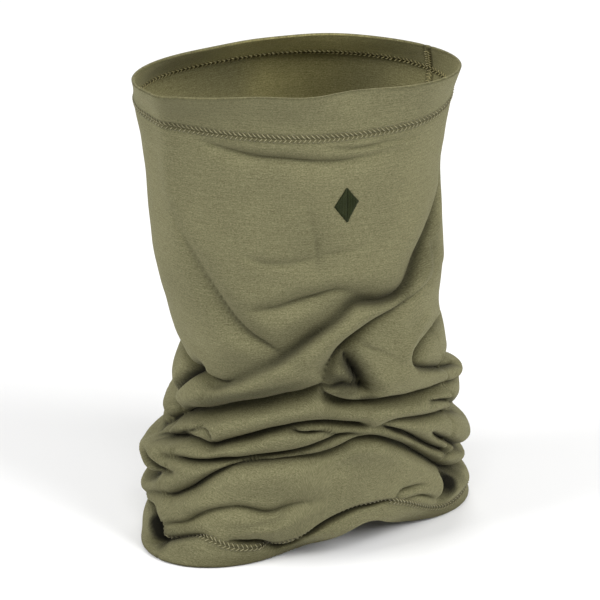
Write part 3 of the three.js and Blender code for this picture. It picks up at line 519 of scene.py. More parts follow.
def shell(name, P, t_out, t_in, sewn, line=0.0):
    """Closed band of cloth: the outer face at t_out and the inner at t_in from the middle surface."""
    N = normals(P)
    x = np.minimum(u, 1 - u) * 49.0
    raised = np.exp(-((x / 0.15) ** 4))[:, None, None]
    groove = np.exp(-(((x - 0.255) / 0.062) ** 2))[:, None, None]
    O = M(P + N * (t_out + 0.012 * raised - 0.030 * groove))
    I = M(P + N * (t_in - 0.050 * raised + 0.016 * groove))
    n, m = P.shape[:2]
    verts = np.concatenate([O.reshape(-1, 3), I.reshape(-1, 3)])
    verts[:, 2] = np.maximum(verts[:, 2], 0.0)
    i, j = np.meshgrid(np.arange(n), np.arange(m - 1), indexing="ij")
    i1 = (i + 1) % n
    q = lambda a, b: (a * m + b).ravel()
    outer = np.stack([q(i, j), q(i1, j), q(i1, j + 1), q(i, j + 1)], 1)
    inner = np.stack([q(i, j), q(i, j + 1), q(i1, j + 1), q(i1, j)], 1) + n * m
    k = np.arange(n)
    k1 = (k + 1) % n
    lo = np.stack([k * m, n * m + k * m, n * m + k1 * m, k1 * m], 1)
    hi = np.stack([k * m + m - 1, k1 * m + m - 1, n * m + k1 * m + m - 1, n * m + k * m + m - 1], 1)
    faces = np.concatenate([outer, inner, lo, hi])
    # cloth coordinates in metres
    seg = np.linalg.norm(np.diff(P, axis=1), axis=2)
    s = np.concatenate([np.zeros((n, 1)), np.cumsum(seg, 1)], 1) * 0.01
    uu = np.repeat((u * 0.49)[:, None], m, 1)
    UV = np.stack([uu, s - s[:, -1:] if "high" in sewn else s], -1).reshape(-1, 2)
    UV = np.concatenate([UV, UV])
    fu = UV[faces].copy()
    wrap = fu[:, :, 0].max(1) - fu[:, :, 0].min(1) > 0.25
    sub = fu[wrap]
    sub[:, :, 0] = np.where(sub[:, :, 0] < 0.2, sub[:, :, 0] + 0.49, sub[:, :, 0])
    fu[wrap] = sub
    ob = mesh_from(name, verts, faces, fu.reshape(-1, 2))
    # nearness of the sewn lines, for the painted shade of the small dents that the stitches pull in the cloth
    full = s[:, -1:]
    near_row = np.zeros_like(s)
    if "low" in sewn:
        near_row = np.maximum(near_row, np.exp(-((s * 100 / 0.34) ** 2)))
    if "high" in sewn:
        near_row = np.maximum(near_row, np.exp(-(((full - s) * 100 / 0.34) ** 2)))
    near_seam = np.exp(-(((x - 0.255) / 0.075) ** 2))[:, None] + 0 * s
    zero = np.zeros_like(s)
    # painted shade: the lit top edge of the turned hem is darkened
    rim_out, rim_in = zero.copy(), zero.copy()
    if "rim_high" in sewn:
        rim_out = np.exp(-(((full - s) * 100 / 0.10) ** 2))
        rim_in = np.exp(-(((full - s) * 100 / 0.16) ** 2))
    # painted light: how much the inner face is lightened, most at the back of the tube
    deg = np.degrees(angle_of(u, np.full(NU, 29.0))) % 360
    back = (smoothstep(20, 75, deg) * (1 - smoothstep(115, 165, deg)))[:, None] + zero
    mid = (smoothstep(45, 80, deg) * (1 - smoothstep(105, 130, deg)))[:, None] + zero
    lit = 0.18 + 0.82 * back if "rim_high" in sewn else 0.35 + 0.65 * mid
    band = np.exp(-((x / 0.30) ** 6))[:, None] + zero if "rim_high" in sewn else zero
    # inside holds painted light; sewn_row, sewn_seam, rim and crease hold painted shade
    for key, val, val_in in (("inside", zero, lit), ("seam_band", zero, band), ("sewn_row", near_row, near_row), ("sewn_seam", near_seam, near_seam), ("rim", rim_out, rim_in),
                             ("crease", zero + line, zero + line)):
        at = ob.data.attributes.new(key, "FLOAT", "POINT")
        at.data.foreach_set("value", np.concatenate([val.ravel(), val_in.ravel()]).astype(np.float32))
    return ob


panel = shell("jersey_tube", PANEL, CLOTH_T / 2, -CLOTH_T / 2, ("low", "high"), PANEL_PAINTED_SHADE)
top = shell("upper_hem_band", TOP, CLOTH_T / 2, -CLOTH_T * 1.55, ("low", "rim_high"))
bot = shell("lower_hem_band", BOT, CLOTH_T / 2, -CLOTH_T * 1.55, ("high",), BOT_PAINTED_SHADE)
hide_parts("knit_panel")
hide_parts("top_hem")
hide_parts("bottom_hem")
for o, s in ((panel, "jersey"), (top, "jersey_hem"), (bot, "jersey_hem")):
    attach(o, "root")

# ------------------------------------------------------------------ threads
class Lay:
    """A patch of cloth laid out flat: along and across in centimetres, and height off its middle surface."""

    def __init__(self, P, N, along, across):
        self.P, self.N, self.along, self.across = P, N, along, across

    def at(self, s, y, h):
        s, y, h = np.broadcast_arrays(np.asarray(s, float), np.asarray(y, float), np.asarray(h, float))
        fi = np.interp(s, self.along, np.arange(len(self.along)))
        fj = np.interp(y, self.across, np.arange(len(self.across)))
        i = np.clip(np.floor(fi).astype(int), 0, len(self.along) - 2)
        j = np.clip(np.floor(fj).astype(int), 0, len(self.across) - 2)
        a, b = (fi - i)[..., None], (fj - j)[..., None]

        def pick(T):
            return T[i, j] * (1 - a) * (1 - b) + T[i + 1, j] * a * (1 - b) + T[i, j + 1] * (1 - a) * b + T[i + 1, j + 1] * a * b
        n = pick(self.N)
        n = n / (np.linalg.norm(n, axis=-1, keepdims=True) + 1e-9)
        return pick(self.P) + n * h[..., None], n


def hem_lay(lower, upper, reach=0.5, n=15):
    """The strip either side of a hem's stitching, from the rows below it and the rows above it."""
    k = 12
    lo = lower[:, ::-1][:, :k] if lower is not None else None
    A = upper[:, :k]
    y = np.linspace(-reach, reach, n)
    out = np.zeros((A.shape[0], n, 3))
    for c in range(A.shape[0]):
        up = A[c]
        dn = lo[c]
        su = np.r_[0, np.cumsum(np.linalg.norm(np.diff(up, axis=0), axis=1))]
        sd = np.r_[0, np.cumsum(np.linalg.norm(np.diff(dn, axis=0), axis=1))]
        s = np.r_[-sd[:0:-1], su]
        q = np.concatenate([dn[:0:-1], up])
        for d in range(3):
            out[c, :, d] = np.interp(y, s, q[:, d])
    N = normals(out)
    out = np.concatenate([out, out[:1]])
    N = np.concatenate([N, N[:1]])
    mid = out[:, n // 2]
    along = np.r_[0, np.cumsum(np.linalg.norm(np.diff(mid, axis=0), axis=1))]
    return Lay(out, N, along, y)


def strands(name, lay, S, Y, H, radius, wide=1.0, sides=5):
    """Round threads through points (s, y, h); one row of the arrays is one thread."""
    P, n = lay.at(S, Y, H)
    T = np.gradient(P, axis=1)
    T /= np.linalg.norm(T, axis=2, keepdims=True) + 1e-9
    B = np.cross(T, n)
    B /= np.linalg.norm(B, axis=2, keepdims=True) + 1e-9
    C = np.cross(B, T)
    R = np.broadcast_to(np.asarray(radius, float), P.shape[:2])[..., None, None]
    a = np.arange(sides) / sides * 2 * np.pi
    ring = P[:, :, None] + R * (np.cos(a)[None, None, :, None] * B[:, :, None] * wide + np.sin(a)[None, None, :, None] * C[:, :, None])
    m, k = P.shape[:2]
    tips = np.stack([P[:, 0] - T[:, 0] * R[:, 0, 0] * 0.6, P[:, -1] + T[:, -1] * R[:, -1, 0] * 0.6], 1)
    V = np.concatenate([ring.reshape(m, -1, 3), tips], 1)
    per = V.shape[1]
    f = []
    for j in range(k - 1):
        for q in range(sides):
            q1 = (q + 1) % sides
            w0, w1, w2, w3 = j * sides + q, j * sides + q1, (j + 1) * sides + q1, (j + 1) * sides + q
            f += [(w0, w1, w2), (w0, w2, w3)]
    for q in range(sides):
        q1 = (q + 1) % sides
        f.append((k * sides, q1, q))
        f.append((k * sides + 1, (k - 1) * sides + q, (k - 1) * sides + q1))
    f = np.array(f)
    F = (f[None] + (np.arange(m) * per)[:, None, None]).reshape(-1, 3)
    # how far along the thread, for the twist of its plies
    seg = np.linalg.norm(np.diff(P, axis=1), axis=2)
    s = np.concatenate([np.zeros((m, 1)), np.cumsum(seg, 1)], 1) * 0.01
    uv = np.zeros((m, per, 2))
    uv[:, :k * sides, 0] = np.repeat(s, sides, 1)
    uv[:, :k * sides, 1] = np.tile(a / (2 * np.pi), k)[None]
    uv[:, k * sides + 1, 0] = s[:, -1]
    uv = uv.reshape(-1, 2)[F.ravel()]
    V = M(V.reshape(-1, 3))
    # faces turn outward
    t = V[F]
    vol = np.einsum("ij,ij->i", t[:, 0], np.cross(t[:, 1], t[:, 2])).sum()
    if vol < 0:
        F = F[:, ::-1]
        uv = uv.reshape(-1, 3, 2)[:, ::-1].reshape(-1, 2)
    return V, F, uv


def join_strands(name, parts):
    V, F, U, o = [], [], [], 0
    for v, f, q in parts:
        V.append(v)
        F.append(f + o)
        U.append(q)
        o += len(v)
    return mesh_from(name, np.concatenate(V), np.concatenate(F), np.concatenate(U))


def line(t, *pts):
    """Values at t through equally spaced control values, smoothed."""
    return np.interp(t, np.linspace(0, 1, len(pts)), pts)


def hem_threads(tag, lay, face, inner, seed):
    """Coverstitch: two needle rows, the slanted covering thread on the outside, looping thread inside."""
    rng = np.random.default_rng(seed)
    L = lay.along[-1]
    n = int(round(L / 0.285))
    p = L / n
    x0 = np.arange(n) * p
    jx = rng.normal(0, 0.010, n)
    jy = rng.normal(0, 0.008, n)
    k = 6
    t = np.linspace(0, 1, k)[None]
    bump = np.sin(np.pi * t)
    one = np.ones((n, 1))
    R = 0.036
    base_h = face + 0.004
    hi = 0.040
    up_s = (x0 + jx)[:, None] + (0.02 + 0.27 * t)
    up_y = (0.235 + jy)[:, None] - 0.242 * t
    up_h = base_h - 0.03 + (hi + 0.028) * bump * one
    lo_s = (x0 + 0.5 * jx)[:, None] + (0.290 - 0.20 * t) + 0.035
    lo_y = (-0.03 + 0.5 * jy)[:, None] - 0.205 * t
    lo_h = base_h - 0.03 + (hi + 0.020) * bump * one
    rad = R * (0.62 + 0.38 * bump) * one
    cover = join_strands(tag + "_covering", [strands("", lay, up_s, up_y, up_h, rad, 1.0),
                                            strands("", lay, lo_s, lo_y, lo_h, rad * 0.92, 1.0)])
    needles = []
    for tagn, y in (("upper", 0.248), ("lower", -0.248)):
        s = (x0 + 0.4 * jx)[:, None] + (0.06 + 0.19 * t)
        yy = y + 0 * s
        h = base_h - 0.022 + 0.030 * bump * one
        needles.append(join_strands(tag + "_needle_" + tagn, [strands("", lay, s, yy, h, 0.019 * (0.7 + 0.3 * bump) * one)]))
    # inside: loops lie over each other
    s1 = (x0 + jx)[:, None] + (0.30 - 0.26 * t)
    y1 = (0.245 + jy)[:, None] - 0.245 * t
    s2 = (x0 + jx)[:, None] + (0.06 + 0.24 * t)
    y2 = (0.02 + jy)[:, None] - 0.262 * t
    h1 = inner + 0.026 - (hi + 0.024) * bump * one
    loops = join_strands(tag + "_looping", [strands("", lay, s1, y1, h1, rad), strands("", lay, s2, y2, h1, rad * 0.95)])
    return cover, needles[0], needles[1], loops


top_lay = hem_lay(PANEL, TOP)
bot_lay = hem_lay(BOT, PANEL)
pieces = []
for tag, node, lay, inner, seed in (("upper_hem", "top_hem", top_lay, -CLOTH_T * 1.55, 3), ("lower_hem", "bottom_hem", bot_lay, -CLOTH_T * 1.55, 5)):
    cover, na, nb, loops = hem_threads(tag, lay, CLOTH_T / 2, inner, seed)
    for o, nodes, s in ((cover, ["cover_thread"], "cover_thread"), (na, ["needle_thread_upper"], "needle_thread"),
                        (nb, ["needle_thread_lower"], "needle_thread"), (loops, ["looper_thread"], "cover_thread")):
        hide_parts(node + "_" + nodes[0])
        pieces.append((o, s))

def mark_within(o):
    """Notes that this thread lies on the inner face."""
    at = o.data.attributes.new("inner_painted_light", "FLOAT", "POINT")
    at.data.foreach_set("value", np.ones(len(o.data.vertices), np.float32))


# side seam: flat joint of the panel's two edges, through both hems
ALL = np.concatenate([BOT, PANEL[:, 1:], TOP[:, 1:]], 1)
ALLN = normals(ALL)
cols = np.r_[NU - SEAM_COLS:NU, 0:SEAM_COLS + 1]
xs = np.array([(u[c] - (1 if c >= NU - SEAM_COLS else 0)) * 49.0 for c in cols])
SP, SN = ALL[cols].transpose(1, 0, 2), ALLN[cols].transpose(1, 0, 2)
mid = SP[:, SEAM_COLS]
s_al = np.r_[0, np.cumsum(np.linalg.norm(np.diff(mid, axis=0), axis=1))]
seam_lay = Lay(SP, SN, s_al, xs)
L = s_al[-1]
n = int(round(L / 0.25))
p = L / n
rng = np.random.default_rng(11)
x0 = (np.arange(n) * p)
x0 = x0[(x0 > 0.12) & (x0 < L - 0.30)]
n = len(x0)
jx = rng.normal(0, 0.008, n)
k = 6
t = np.linspace(0, 1, k)[None]
bump = np.sin(np.pi * t)
one = np.ones((n, 1))
rad = 0.030 * (0.65 + 0.35 * bump) * one
f = CLOTH_T / 2
cover = join_strands("side_seam_covering", [
    strands("", seam_lay, (x0 + jx)[:, None] + (0.00 + 0.12 * t), -0.21 + 0.42 * t + 0 * one, f + 0.010 + 0.050 * bump * one, rad),
    strands("", seam_lay, (x0 + jx)[:, None] + (0.12 + 0.12 * t), 0.21 - 0.42 * t + 0 * one, f + 0.004 + 0.044 * bump * one, rad)])
# the hems are doubled, so the joint stands further in there
edge_lo = s_al[BR - 1]
edge_hi = s_al[BR + NV - 2]
doubled = (1 - smoothstep(edge_lo - 0.1, edge_lo + 0.1, x0)) + smoothstep(edge_hi - 0.1, edge_hi + 0.1, x0)
inner_at = (-(CLOTH_T / 2 + 0.050) - doubled * CLOTH_T * 1.05)[:, None]
loops = join_strands("side_seam_looping", [
    strands("", seam_lay, (x0 + jx)[:, None] + (0.00 + 0.13 * t), -0.25 + 0.25 * t + 0 * one, inner_at + 0.018 - 0.045 * bump * one, rad * 0.9),
    strands("", seam_lay, (x0 + jx)[:, None] + (0.13 - 0.13 * t), 0.00 + 0.25 * t + 0 * one, inner_at + 0.018 - 0.045 * bump * one, rad * 0.9)])
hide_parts("side_seam_cover_thread")
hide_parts("side_seam_looper_thread")
pieces += [(cover, "cover_thread"), (loops, "cover_thread")]
for o, s in pieces:
    if "looping" in o.name:
        mark_within(o)
for tagn, y in (("a", -0.262), ("b", 0.262)):
    o = join_strands("side_seam_needle_" + tagn, [
        strands("", seam_lay, (x0 + jx)[:, None] + (0.03 + 0.17 * t), y + 0 * t + 0 * one, f - 0.022 + 0.034 * bump * one, 0.018 * (0.7 + 0.3 * bump) * one)])
    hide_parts("side_seam_needle_thread_" + tagn)
    pieces.append((o, "needle_thread"))

# ----------------------------------------------------------- satin-stitch mark
MARK_XZ = (23.2, 239.0)
MARK_W, MARK_H = 0.78, 1.12


def patch_lay(x_mm, z_mm, reach):
    """Laid-out cloth round a point of the panel's front, given in the row frame's millimetres."""
    X = M(PANEL) * 1000
    d = np.hypot(X[..., 0] - x_mm, X[..., 2] - z_mm) + np.where(X[..., 1] < 0, 0, 1e6)
    ci, ri = np.unravel_index(np.argmin(d), d.shape)
    q = 14
    cc = (np.arange(ci - q, ci + q + 1)) % NU
    rr = np.arange(ri - q, ri + q + 1)
    PP = PANEL[cc][:, rr]
    NN = normals(PANEL)[cc][:, rr]
    row = PP[:, q]
    ax = np.r_[0, np.cumsum(np.linalg.norm(np.diff(row, axis=0), axis=1))]
    colm = PP[q]
    ay = np.r_[0, np.cumsum(np.linalg.norm(np.diff(colm, axis=0), axis=1))]
    # the nearest vertex stands a little off the point itself
    Xc = M(PP) * 1000
    ax = ax - ax[q] + (Xc[q, q, 0] - x_mm) * 0.1
    ay = ay - ay[q] + (Xc[q, q, 2] - z_mm) * 0.1
    return Lay(PP, NN, ax, ay)


mark_lay = patch_lay(MARK_XZ[0], MARK_XZ[1], 1.5)


def slab(lay, pts_of, h0, h1, rings, around):
    """Closed thin plate over a star-shaped outline, on the laid-out cloth."""
    a = np.arange(around) / around * 2 * np.pi
    ex, ey = pts_of(a)
    V, F = [], []
    for h in (h0, h1):
        V.append(lay.at(np.zeros(1), np.zeros(1), np.full(1, h))[0])
        for r in range(1, rings + 1):
            edge = h if (r < rings) else (h0 + h1) / 2
            V.append(lay.at(ex * r / rings, ey * r / rings, np.full(around, edge))[0])
    n1 = 1 + rings * around
    V = np.concatenate(V)
    for side in (0, 1):
        o = side * n1
        for q in range(around):
            q1 = (q + 1) % around
            tri = [(o, o + 1 + q, o + 1 + q1)]
            for r in range(rings - 1):
                w0, w1 = o + 1 + r * around + q, o + 1 + r * around + q1
                w2, w3 = w1 + around, w0 + around
                tri += [(w0, w3, w2), (w0, w2, w1)]
            F += [t if side else t[::-1] for t in tri]
    # rims are joined by a band so that the plate is closed
    for q in range(around):
        q1 = (q + 1) % around
        a0, a1 = 1 + (rings - 1) * around + q, 1 + (rings - 1) * around + q1
        b0, b1 = a0 + n1, a1 + n1
        F += [(a0, a1, b1), (a0, b1, b0)]
    F = np.array(F)
    V = M(V)
    uv = np.zeros((F.size, 2))
    Vc = V[F.ravel()]
    uv[:, 0], uv[:, 1] = Vc[:, 0], Vc[:, 2]
    return V, F, uv


def lozenge(a, w=MARK_W, h=MARK_H):
    c, s = np.cos(a), np.sin(a)
    r = 1 / (np.abs(c) / w + np.abs(s) / h)
    return c * r, s * r


ys = np.arange(-MARK_H + 0.05, MARK_H - 0.02, 0.043)
slope = 0.55
parts = []
rng = np.random.default_rng(21)
k = 7
t = np.linspace(0, 1, k)[None]
for side in (-1, 1):
    for shift in (0.0,):
        y0 = ys + shift
        # from the midrib outward and downward until the edge
        # |x|/W + |y0 - slope*x|/H = 1
        ends = []
        for y in y0:
            xx = np.linspace(0, MARK_W, 200)
            ok = xx / MARK_W + np.abs(y - slope * xx) / MARK_H <= 1.0
            ends.append(xx[ok].max() if ok.any() else 0)
        ends = np.array(ends) + rng.normal(0, 0.008, len(y0))
        keep = ends > 0.05
        y1, e = y0[keep], ends[keep]
        S = side * (e[:, None] * t - 0.012)
        Y = y1[:, None] - slope * e[:, None] * t
        H = CLOTH_T / 2 + 0.028 + 0.040 * np.sin(np.pi * t) ** 0.7 - 0.020 * (t > 0.99) + 0 * S
        rad = 0.027 * (0.75 + 0.25 * np.sin(np.pi * t)) + 0 * S
        parts.append(strands("", mark_lay, S, Y, H, rad))
parts.append(slab(mark_lay, lambda a: tuple(0.97 * q for q in lozenge(a)), CLOTH_T / 2 - 0.012, CLOTH_T / 2 + 0.024, 5, 48))
mark = join_strands("satin_mark", parts)
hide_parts("embroidered_mark")
pieces.append((mark, "mark_thread"))


def soft_lozenge(a):
    c, s = np.cos(a), np.sin(a)
    w, h = MARK_W + 0.22, MARK_H + 0.22
    r = 1 / ((np.abs(c) / w) ** 1.25 + (np.abs(s) / h) ** 1.25) ** (1 / 1.25)
    return c * r * (1 + 0.015 * np.sin(9 * a)), s * r * (1 + 0.015 * np.sin(9 * a))


back = join_strands("mark_backing", [slab(mark_lay, soft_lozenge, -CLOTH_T / 2 - 0.050, -CLOTH_T / 2 - 0.008, 8, 72)])
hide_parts("embroidery_backing")
pieces.append((back, "backing"))
for o, s in pieces:
    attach(o, "root")


# ---------------------------------------------------------------- materials
def lin(r, g, b):
    """sRGB 0-255 to linear."""
    return tuple(((c / 255) / 12.92 if c / 255 <= 0.04045 else ((c / 255 + 0.055) / 1.055) ** 2.4) for c in (r, g, b)) + (1.0,)


class Nodes:
    """Short hand for building a node tree."""

    def __init__(self, name):
        self.mat = bpy.data.materials.new(name)
        self.mat.use_nodes = True
        self.t = self.mat.node_tree
        self.t.nodes.clear()
        self.out = self.t.nodes.new("ShaderNodeOutputMaterial")
        self.bsdf = self.t.nodes.new("ShaderNodeBsdfPrincipled")
        self.t.links.new(self.bsdf.outputs[0], self.out.inputs[0])

    def new(self, kind, **props):
        n = self.t.nodes.new(kind)
        for k, v in props.items():
            setattr(n, k, v)
        return n

    def link(self, a, b):
        self.t.links.new(a, b)

    def put(self, socket, v):
        if hasattr(v, "is_output") or hasattr(v, "links"):
            self.link(v, socket)
        else:
            socket.default_value = v

    def math(self, op, a, b=None, c=None, clamp=False):
        n = self.new("ShaderNodeMath", operation=op, use_clamp=clamp)
        for k, v in enumerate((a, b, c)):
            if v is not None:
                self.put(n.inputs[k], v)
        return n.outputs[0]

    def mix(self, fac, a, b, mode="MIX"):
        n = self.new("ShaderNodeMix", data_type="RGBA", blend_type=mode)
        self.put(n.inputs[0], fac)
        self.put(n.inputs[6], a)
        self.put(n.inputs[7], b)
        return n.outputs[2]

    def noise(self, vec, scale, detail=2.0, rough=0.5, dist=0.0):
        n = self.new("ShaderNodeTexNoise")
        self.link(vec, n.inputs["Vector"])
        n.inputs["Scale"].default_value = scale
        n.inputs["Detail"].default_value = detail
        n.inputs["Roughness"].default_value = rough
        n.inputs["Distortion"].default_value = dist
        return n.outputs["Fac"]

    def mapping(self, vec, scale=(1, 1, 1), rot=(0, 0, 0)):
        n = self.new("ShaderNodeMapping")
        self.link(vec, n.inputs["Vector"])
        n.inputs["Scale"].default_value = scale
        n.inputs["Rotation"].default_value = rot
        return n.outputs[0]

    def ramp(self, fac, stops):
        n = self.new("ShaderNodeValToRGB")
        self.link(fac, n.inputs[0])
        e = n.color_ramp.elements
        e[0].position, e[0].color = stops[0]
        e[1].position, e[1].color = stops[-1]
        for p, c in stops[1:-1]:
            x = e.new(p)
            x.color = c
        return n.outputs[0]

    def maprange(self, v, a, b, c, d):
        n = self.new("ShaderNodeMapRange")
        self.link(v, n.inputs[0])
        for k, x in enumerate((a, b, c, d)):
            n.inputs[k + 1].default_value = x
        return n.outputs[0]


def jersey(name, tint=1.0, inner_painted_light=(1.75, 1.67, 1.34)):
    """Fine melange jersey: wales and courses from the cloth's own coordinates, flecked yarn, soft bloom; painted shade
    in folds and at the stitches, painted light on the inner face.
    """
    m = Nodes(name)
    uv = m.new("ShaderNodeTexCoord").outputs["UV"]
    geo = m.new("ShaderNodeTexCoord").outputs["Object"]
    sep = m.new("ShaderNodeSeparateXYZ")
    m.link(uv, sep.inputs[0])
    x, y = sep.outputs[0], sep.outputs[1]
    WALES, COURSES = 1250.0, 1650.0       # per metre
    # each wale is a column of small slanted legs that lean left and right in turn
    wx = m.math("MULTIPLY", x, WALES)
    tri = m.math("PINGPONG", wx, 0.5)                       # 0..0.5
    leg = m.math("MULTIPLY", tri, 1.4)
    cy = m.math("ADD", m.math("MULTIPLY", y, COURSES), leg)
    rib = m.math("SINE", m.math("MULTIPLY", cy, 2 * math.pi))
    col = m.math("SINE", m.math("MULTIPLY", wx, 2 * math.pi))
    knit = m.math("ADD", m.math("MULTIPLY", rib, 0.5), m.math("MULTIPLY", col, 0.35))
    fleck = m.noise(m.mapping(uv, (1, 1.5, 1)), 950.0, 4.0, 0.7)
    yarn = m.noise(m.mapping(uv, (1, 3.6, 1)), 340.0, 3.0, 0.6)      # streaks along a course
    long_streak = m.noise(m.mapping(uv, (1, 16.0, 1)), 60.0, 2.0, 0.5)
    cloud = m.noise(geo, 26.0, 3.0, 0.55)
    dark = lin(*(c * tint for c in (77, 74, 49)))
    mid = lin(*(c * tint for c in (105, 102, 74)))
    light = lin(*(c * tint for c in (134, 131, 100)))
    c = m.ramp(fleck, [(0.35, dark), (0.50, mid), (0.65, light)])
    c2 = m.ramp(yarn, [(0.32, dark), (0.50, mid), (0.68, light)])
    c = m.mix(0.34, c, c2)
    c3 = m.ramp(long_streak, [(0.36, dark), (0.5, mid), (0.64, light)])
    c = m.mix(0.13, c, c3)
    shade = m.maprange(cloud, 0.3, 0.7, 0.92, 1.07)
    comb = m.new("ShaderNodeCombineColor")
    for k in range(3):
        m.link(shade, comb.inputs[k])
    c = m.mix(1.0, c, comb.outputs[0], "MULTIPLY")
    # painted light: the inner face is lightened and warmed
    side = m.new("ShaderNodeAttribute", attribute_name="inside").outputs["Fac"]
    c = m.mix(side, c, m.mix(1.0, c, tuple(inner_painted_light) + (1.0,), "MULTIPLY"))
    # the side seam's covering stitches run on over the turned-in hem
    rung = m.math("ADD", 0.5, m.math("MULTIPLY", m.math("SINE", m.math("MULTIPLY", y, 2 * math.pi * 420.0)), 0.5))
    band = m.new("ShaderNodeAttribute", attribute_name="seam_band").outputs["Fac"]
    c = m.mix(m.math("MULTIPLY", band, m.math("ADD", 0.25, m.math("MULTIPLY", rung, 0.45))), c, m.mix(1.0, c, (0.42, 0.40, 0.32, 1), "MULTIPLY"))
    # painted shade: the cloth is darkened at the stitch rows and the side seam, as in the small dents that the stitches
    # pull
    row = m.new("ShaderNodeAttribute", attribute_name="sewn_row").outputs["Fac"]
    seam = m.new("ShaderNodeAttribute", attribute_name="sewn_seam").outputs["Fac"]
    painted_dent_shade = m.math("MULTIPLY", m.math("ADD", m.math("MULTIPLY", m.math("POWER", row, 2.2), 0.62), m.math("MULTIPLY", seam, 0.55), clamp=True), 1.0)
    c = m.mix(painted_dent_shade, c, m.mix(1.0, c, (0.30, 0.28, 0.22, 1), "MULTIPLY"))
    # painted shade: the turned top edge is darkened
    edge = m.new("ShaderNodeAttribute", attribute_name="rim").outputs["Fac"]
    c = m.mix(m.math("MULTIPLY", edge, 0.75), c, m.mix(1.0, c, (0.50, 0.49, 0.44, 1), "MULTIPLY"))
    # painted shade: the very bottom of a fold, the cloth under the rolls and the hollows, from the crease attribute
    line = m.new("ShaderNodeAttribute", attribute_name="crease").outputs["Fac"]
    c = m.mix(m.math("MULTIPLY", line, 0.97), c, m.mix(1.0, c, (0.032, 0.030, 0.019, 1), "MULTIPLY"))
    # painted shade: cloth deep in a crease is darkened by ambient occlusion, the blue most
    ao = m.new("ShaderNodeAmbientOcclusion", samples=8)
    ao.inputs["Distance"].default_value = 0.019
    painted_ao_shade = m.maprange(m.math("POWER", ao.outputs["AO"], 1.0), 0.20, 0.80, 0.32, 1.0)
    comb2 = m.new("ShaderNodeCombineColor")
    m.link(painted_ao_shade, comb2.inputs[0])
    m.link(m.math("POWER", painted_ao_shade, 1.03), comb2.inputs[1])
    m.link(m.math("POWER", painted_ao_shade, 1.28), comb2.inputs[2])
    c = m.mix(1.0, c, comb2.outputs[0], "MULTIPLY")
    m.link(c, m.bsdf.inputs["Base Color"])
    m.bsdf.inputs["Roughness"].default_value = 0.92
    m.bsdf.inputs["Specular IOR Level"].default_value = 0.18
    m.bsdf.inputs["Sheen Weight"].default_value = 0.22
    m.bsdf.inputs["Sheen Roughness"].default_value = 0.45
    m.bsdf.inputs["Sheen Tint"].default_value = lin(214, 208, 168)
    fuzz = m.noise(geo, 900.0, 2.0, 0.6)
    soft = m.noise(geo, 120.0, 2.0, 0.5)
    h = m.math("ADD", m.math("MULTIPLY", knit, 0.5), m.math("MULTIPLY", fuzz, 0.9))
    b1 = m.new("ShaderNodeBump")
    b1.inputs["Strength"].default_value = 0.55
    b1.inputs["Distance"].default_value = 0.00022
    m.link(h, b1.inputs["Height"])
    b2 = m.new("ShaderNodeBump")
    b2.inputs["Strength"].default_value = 0.35
    b2.inputs["Distance"].default_value = 0.0011
    m.link(soft, b2.inputs["Height"])
    m.link(b1.outputs[0], b2.inputs["Normal"])
    m.link(b2.outputs[0], m.bsdf.inputs["Normal"])
    return m.mat




def thread(name, tone, dark, plies=1500.0, gloss=0.30, bloom=0.25):
    """Twisted sewing thread."""
    m = Nodes(name)
    uv = m.new("ShaderNodeTexCoord").outputs["UV"]
    geo = m.new("ShaderNodeTexCoord").outputs["Object"]
    sep = m.new("ShaderNodeSeparateXYZ")
    m.link(uv, sep.inputs[0])
    tw = m.math("SINE", m.math("MULTIPLY", m.math("ADD", m.math("MULTIPLY", sep.outputs[0], plies), m.math("MULTIPLY", sep.outputs[1], 2.0)), 2 * math.pi))
    fib = m.noise(geo, 2600.0, 2.0, 0.6)
    slow = m.noise(geo, 160.0, 2.0, 0.5)
    f = m.math("ADD", m.math("MULTIPLY", tw, 0.16), m.math("ADD", m.math("MULTIPLY", fib, 0.55), m.math("MULTIPLY", slow, 0.35)))
    c = m.ramp(f, [(0.22, lin(*dark)), (0.62, lin(*tone))])
    # painted light: threads on the inner face are lightened
    inner_painted_light = m.new("ShaderNodeAttribute", attribute_name="inner_painted_light").outputs["Fac"]
    c = m.mix(inner_painted_light, c, m.mix(1.0, c, (1.75, 1.68, 1.40, 1), "MULTIPLY"))
    # painted shade: the thread is darkened where it is closed in, by ambient occlusion
    ao = m.new("ShaderNodeAmbientOcclusion", samples=6)
    ao.inputs["Distance"].default_value = 0.004
    painted_ao_shade = m.maprange(ao.outputs["AO"], 0.2, 0.9, 0.35, 1.0)
    comb = m.new("ShaderNodeCombineColor")
    for k in range(3):
        m.link(painted_ao_shade, comb.inputs[k])
    c = m.mix(1.0, c, comb.outputs[0], "MULTIPLY")
    m.link(c, m.bsdf.inputs["Base Color"])
    m.bsdf.inputs["Roughness"].default_value = 1 - gloss
    m.bsdf.inputs["Specular IOR Level"].default_value = bloom
    m.bsdf.inputs["Sheen Weight"].default_value = bloom
    m.bsdf.inputs["Sheen Roughness"].default_value = 0.4
    b = m.new("ShaderNodeBump")
    b.inputs["Strength"].default_value = 0.5
    b.inputs["Distance"].default_value = 0.00008
    m.link(m.math("ADD", tw, fib), b.inputs["Height"])
    m.link(b.outputs[0], m.bsdf.inputs["Normal"])
    return m.mat


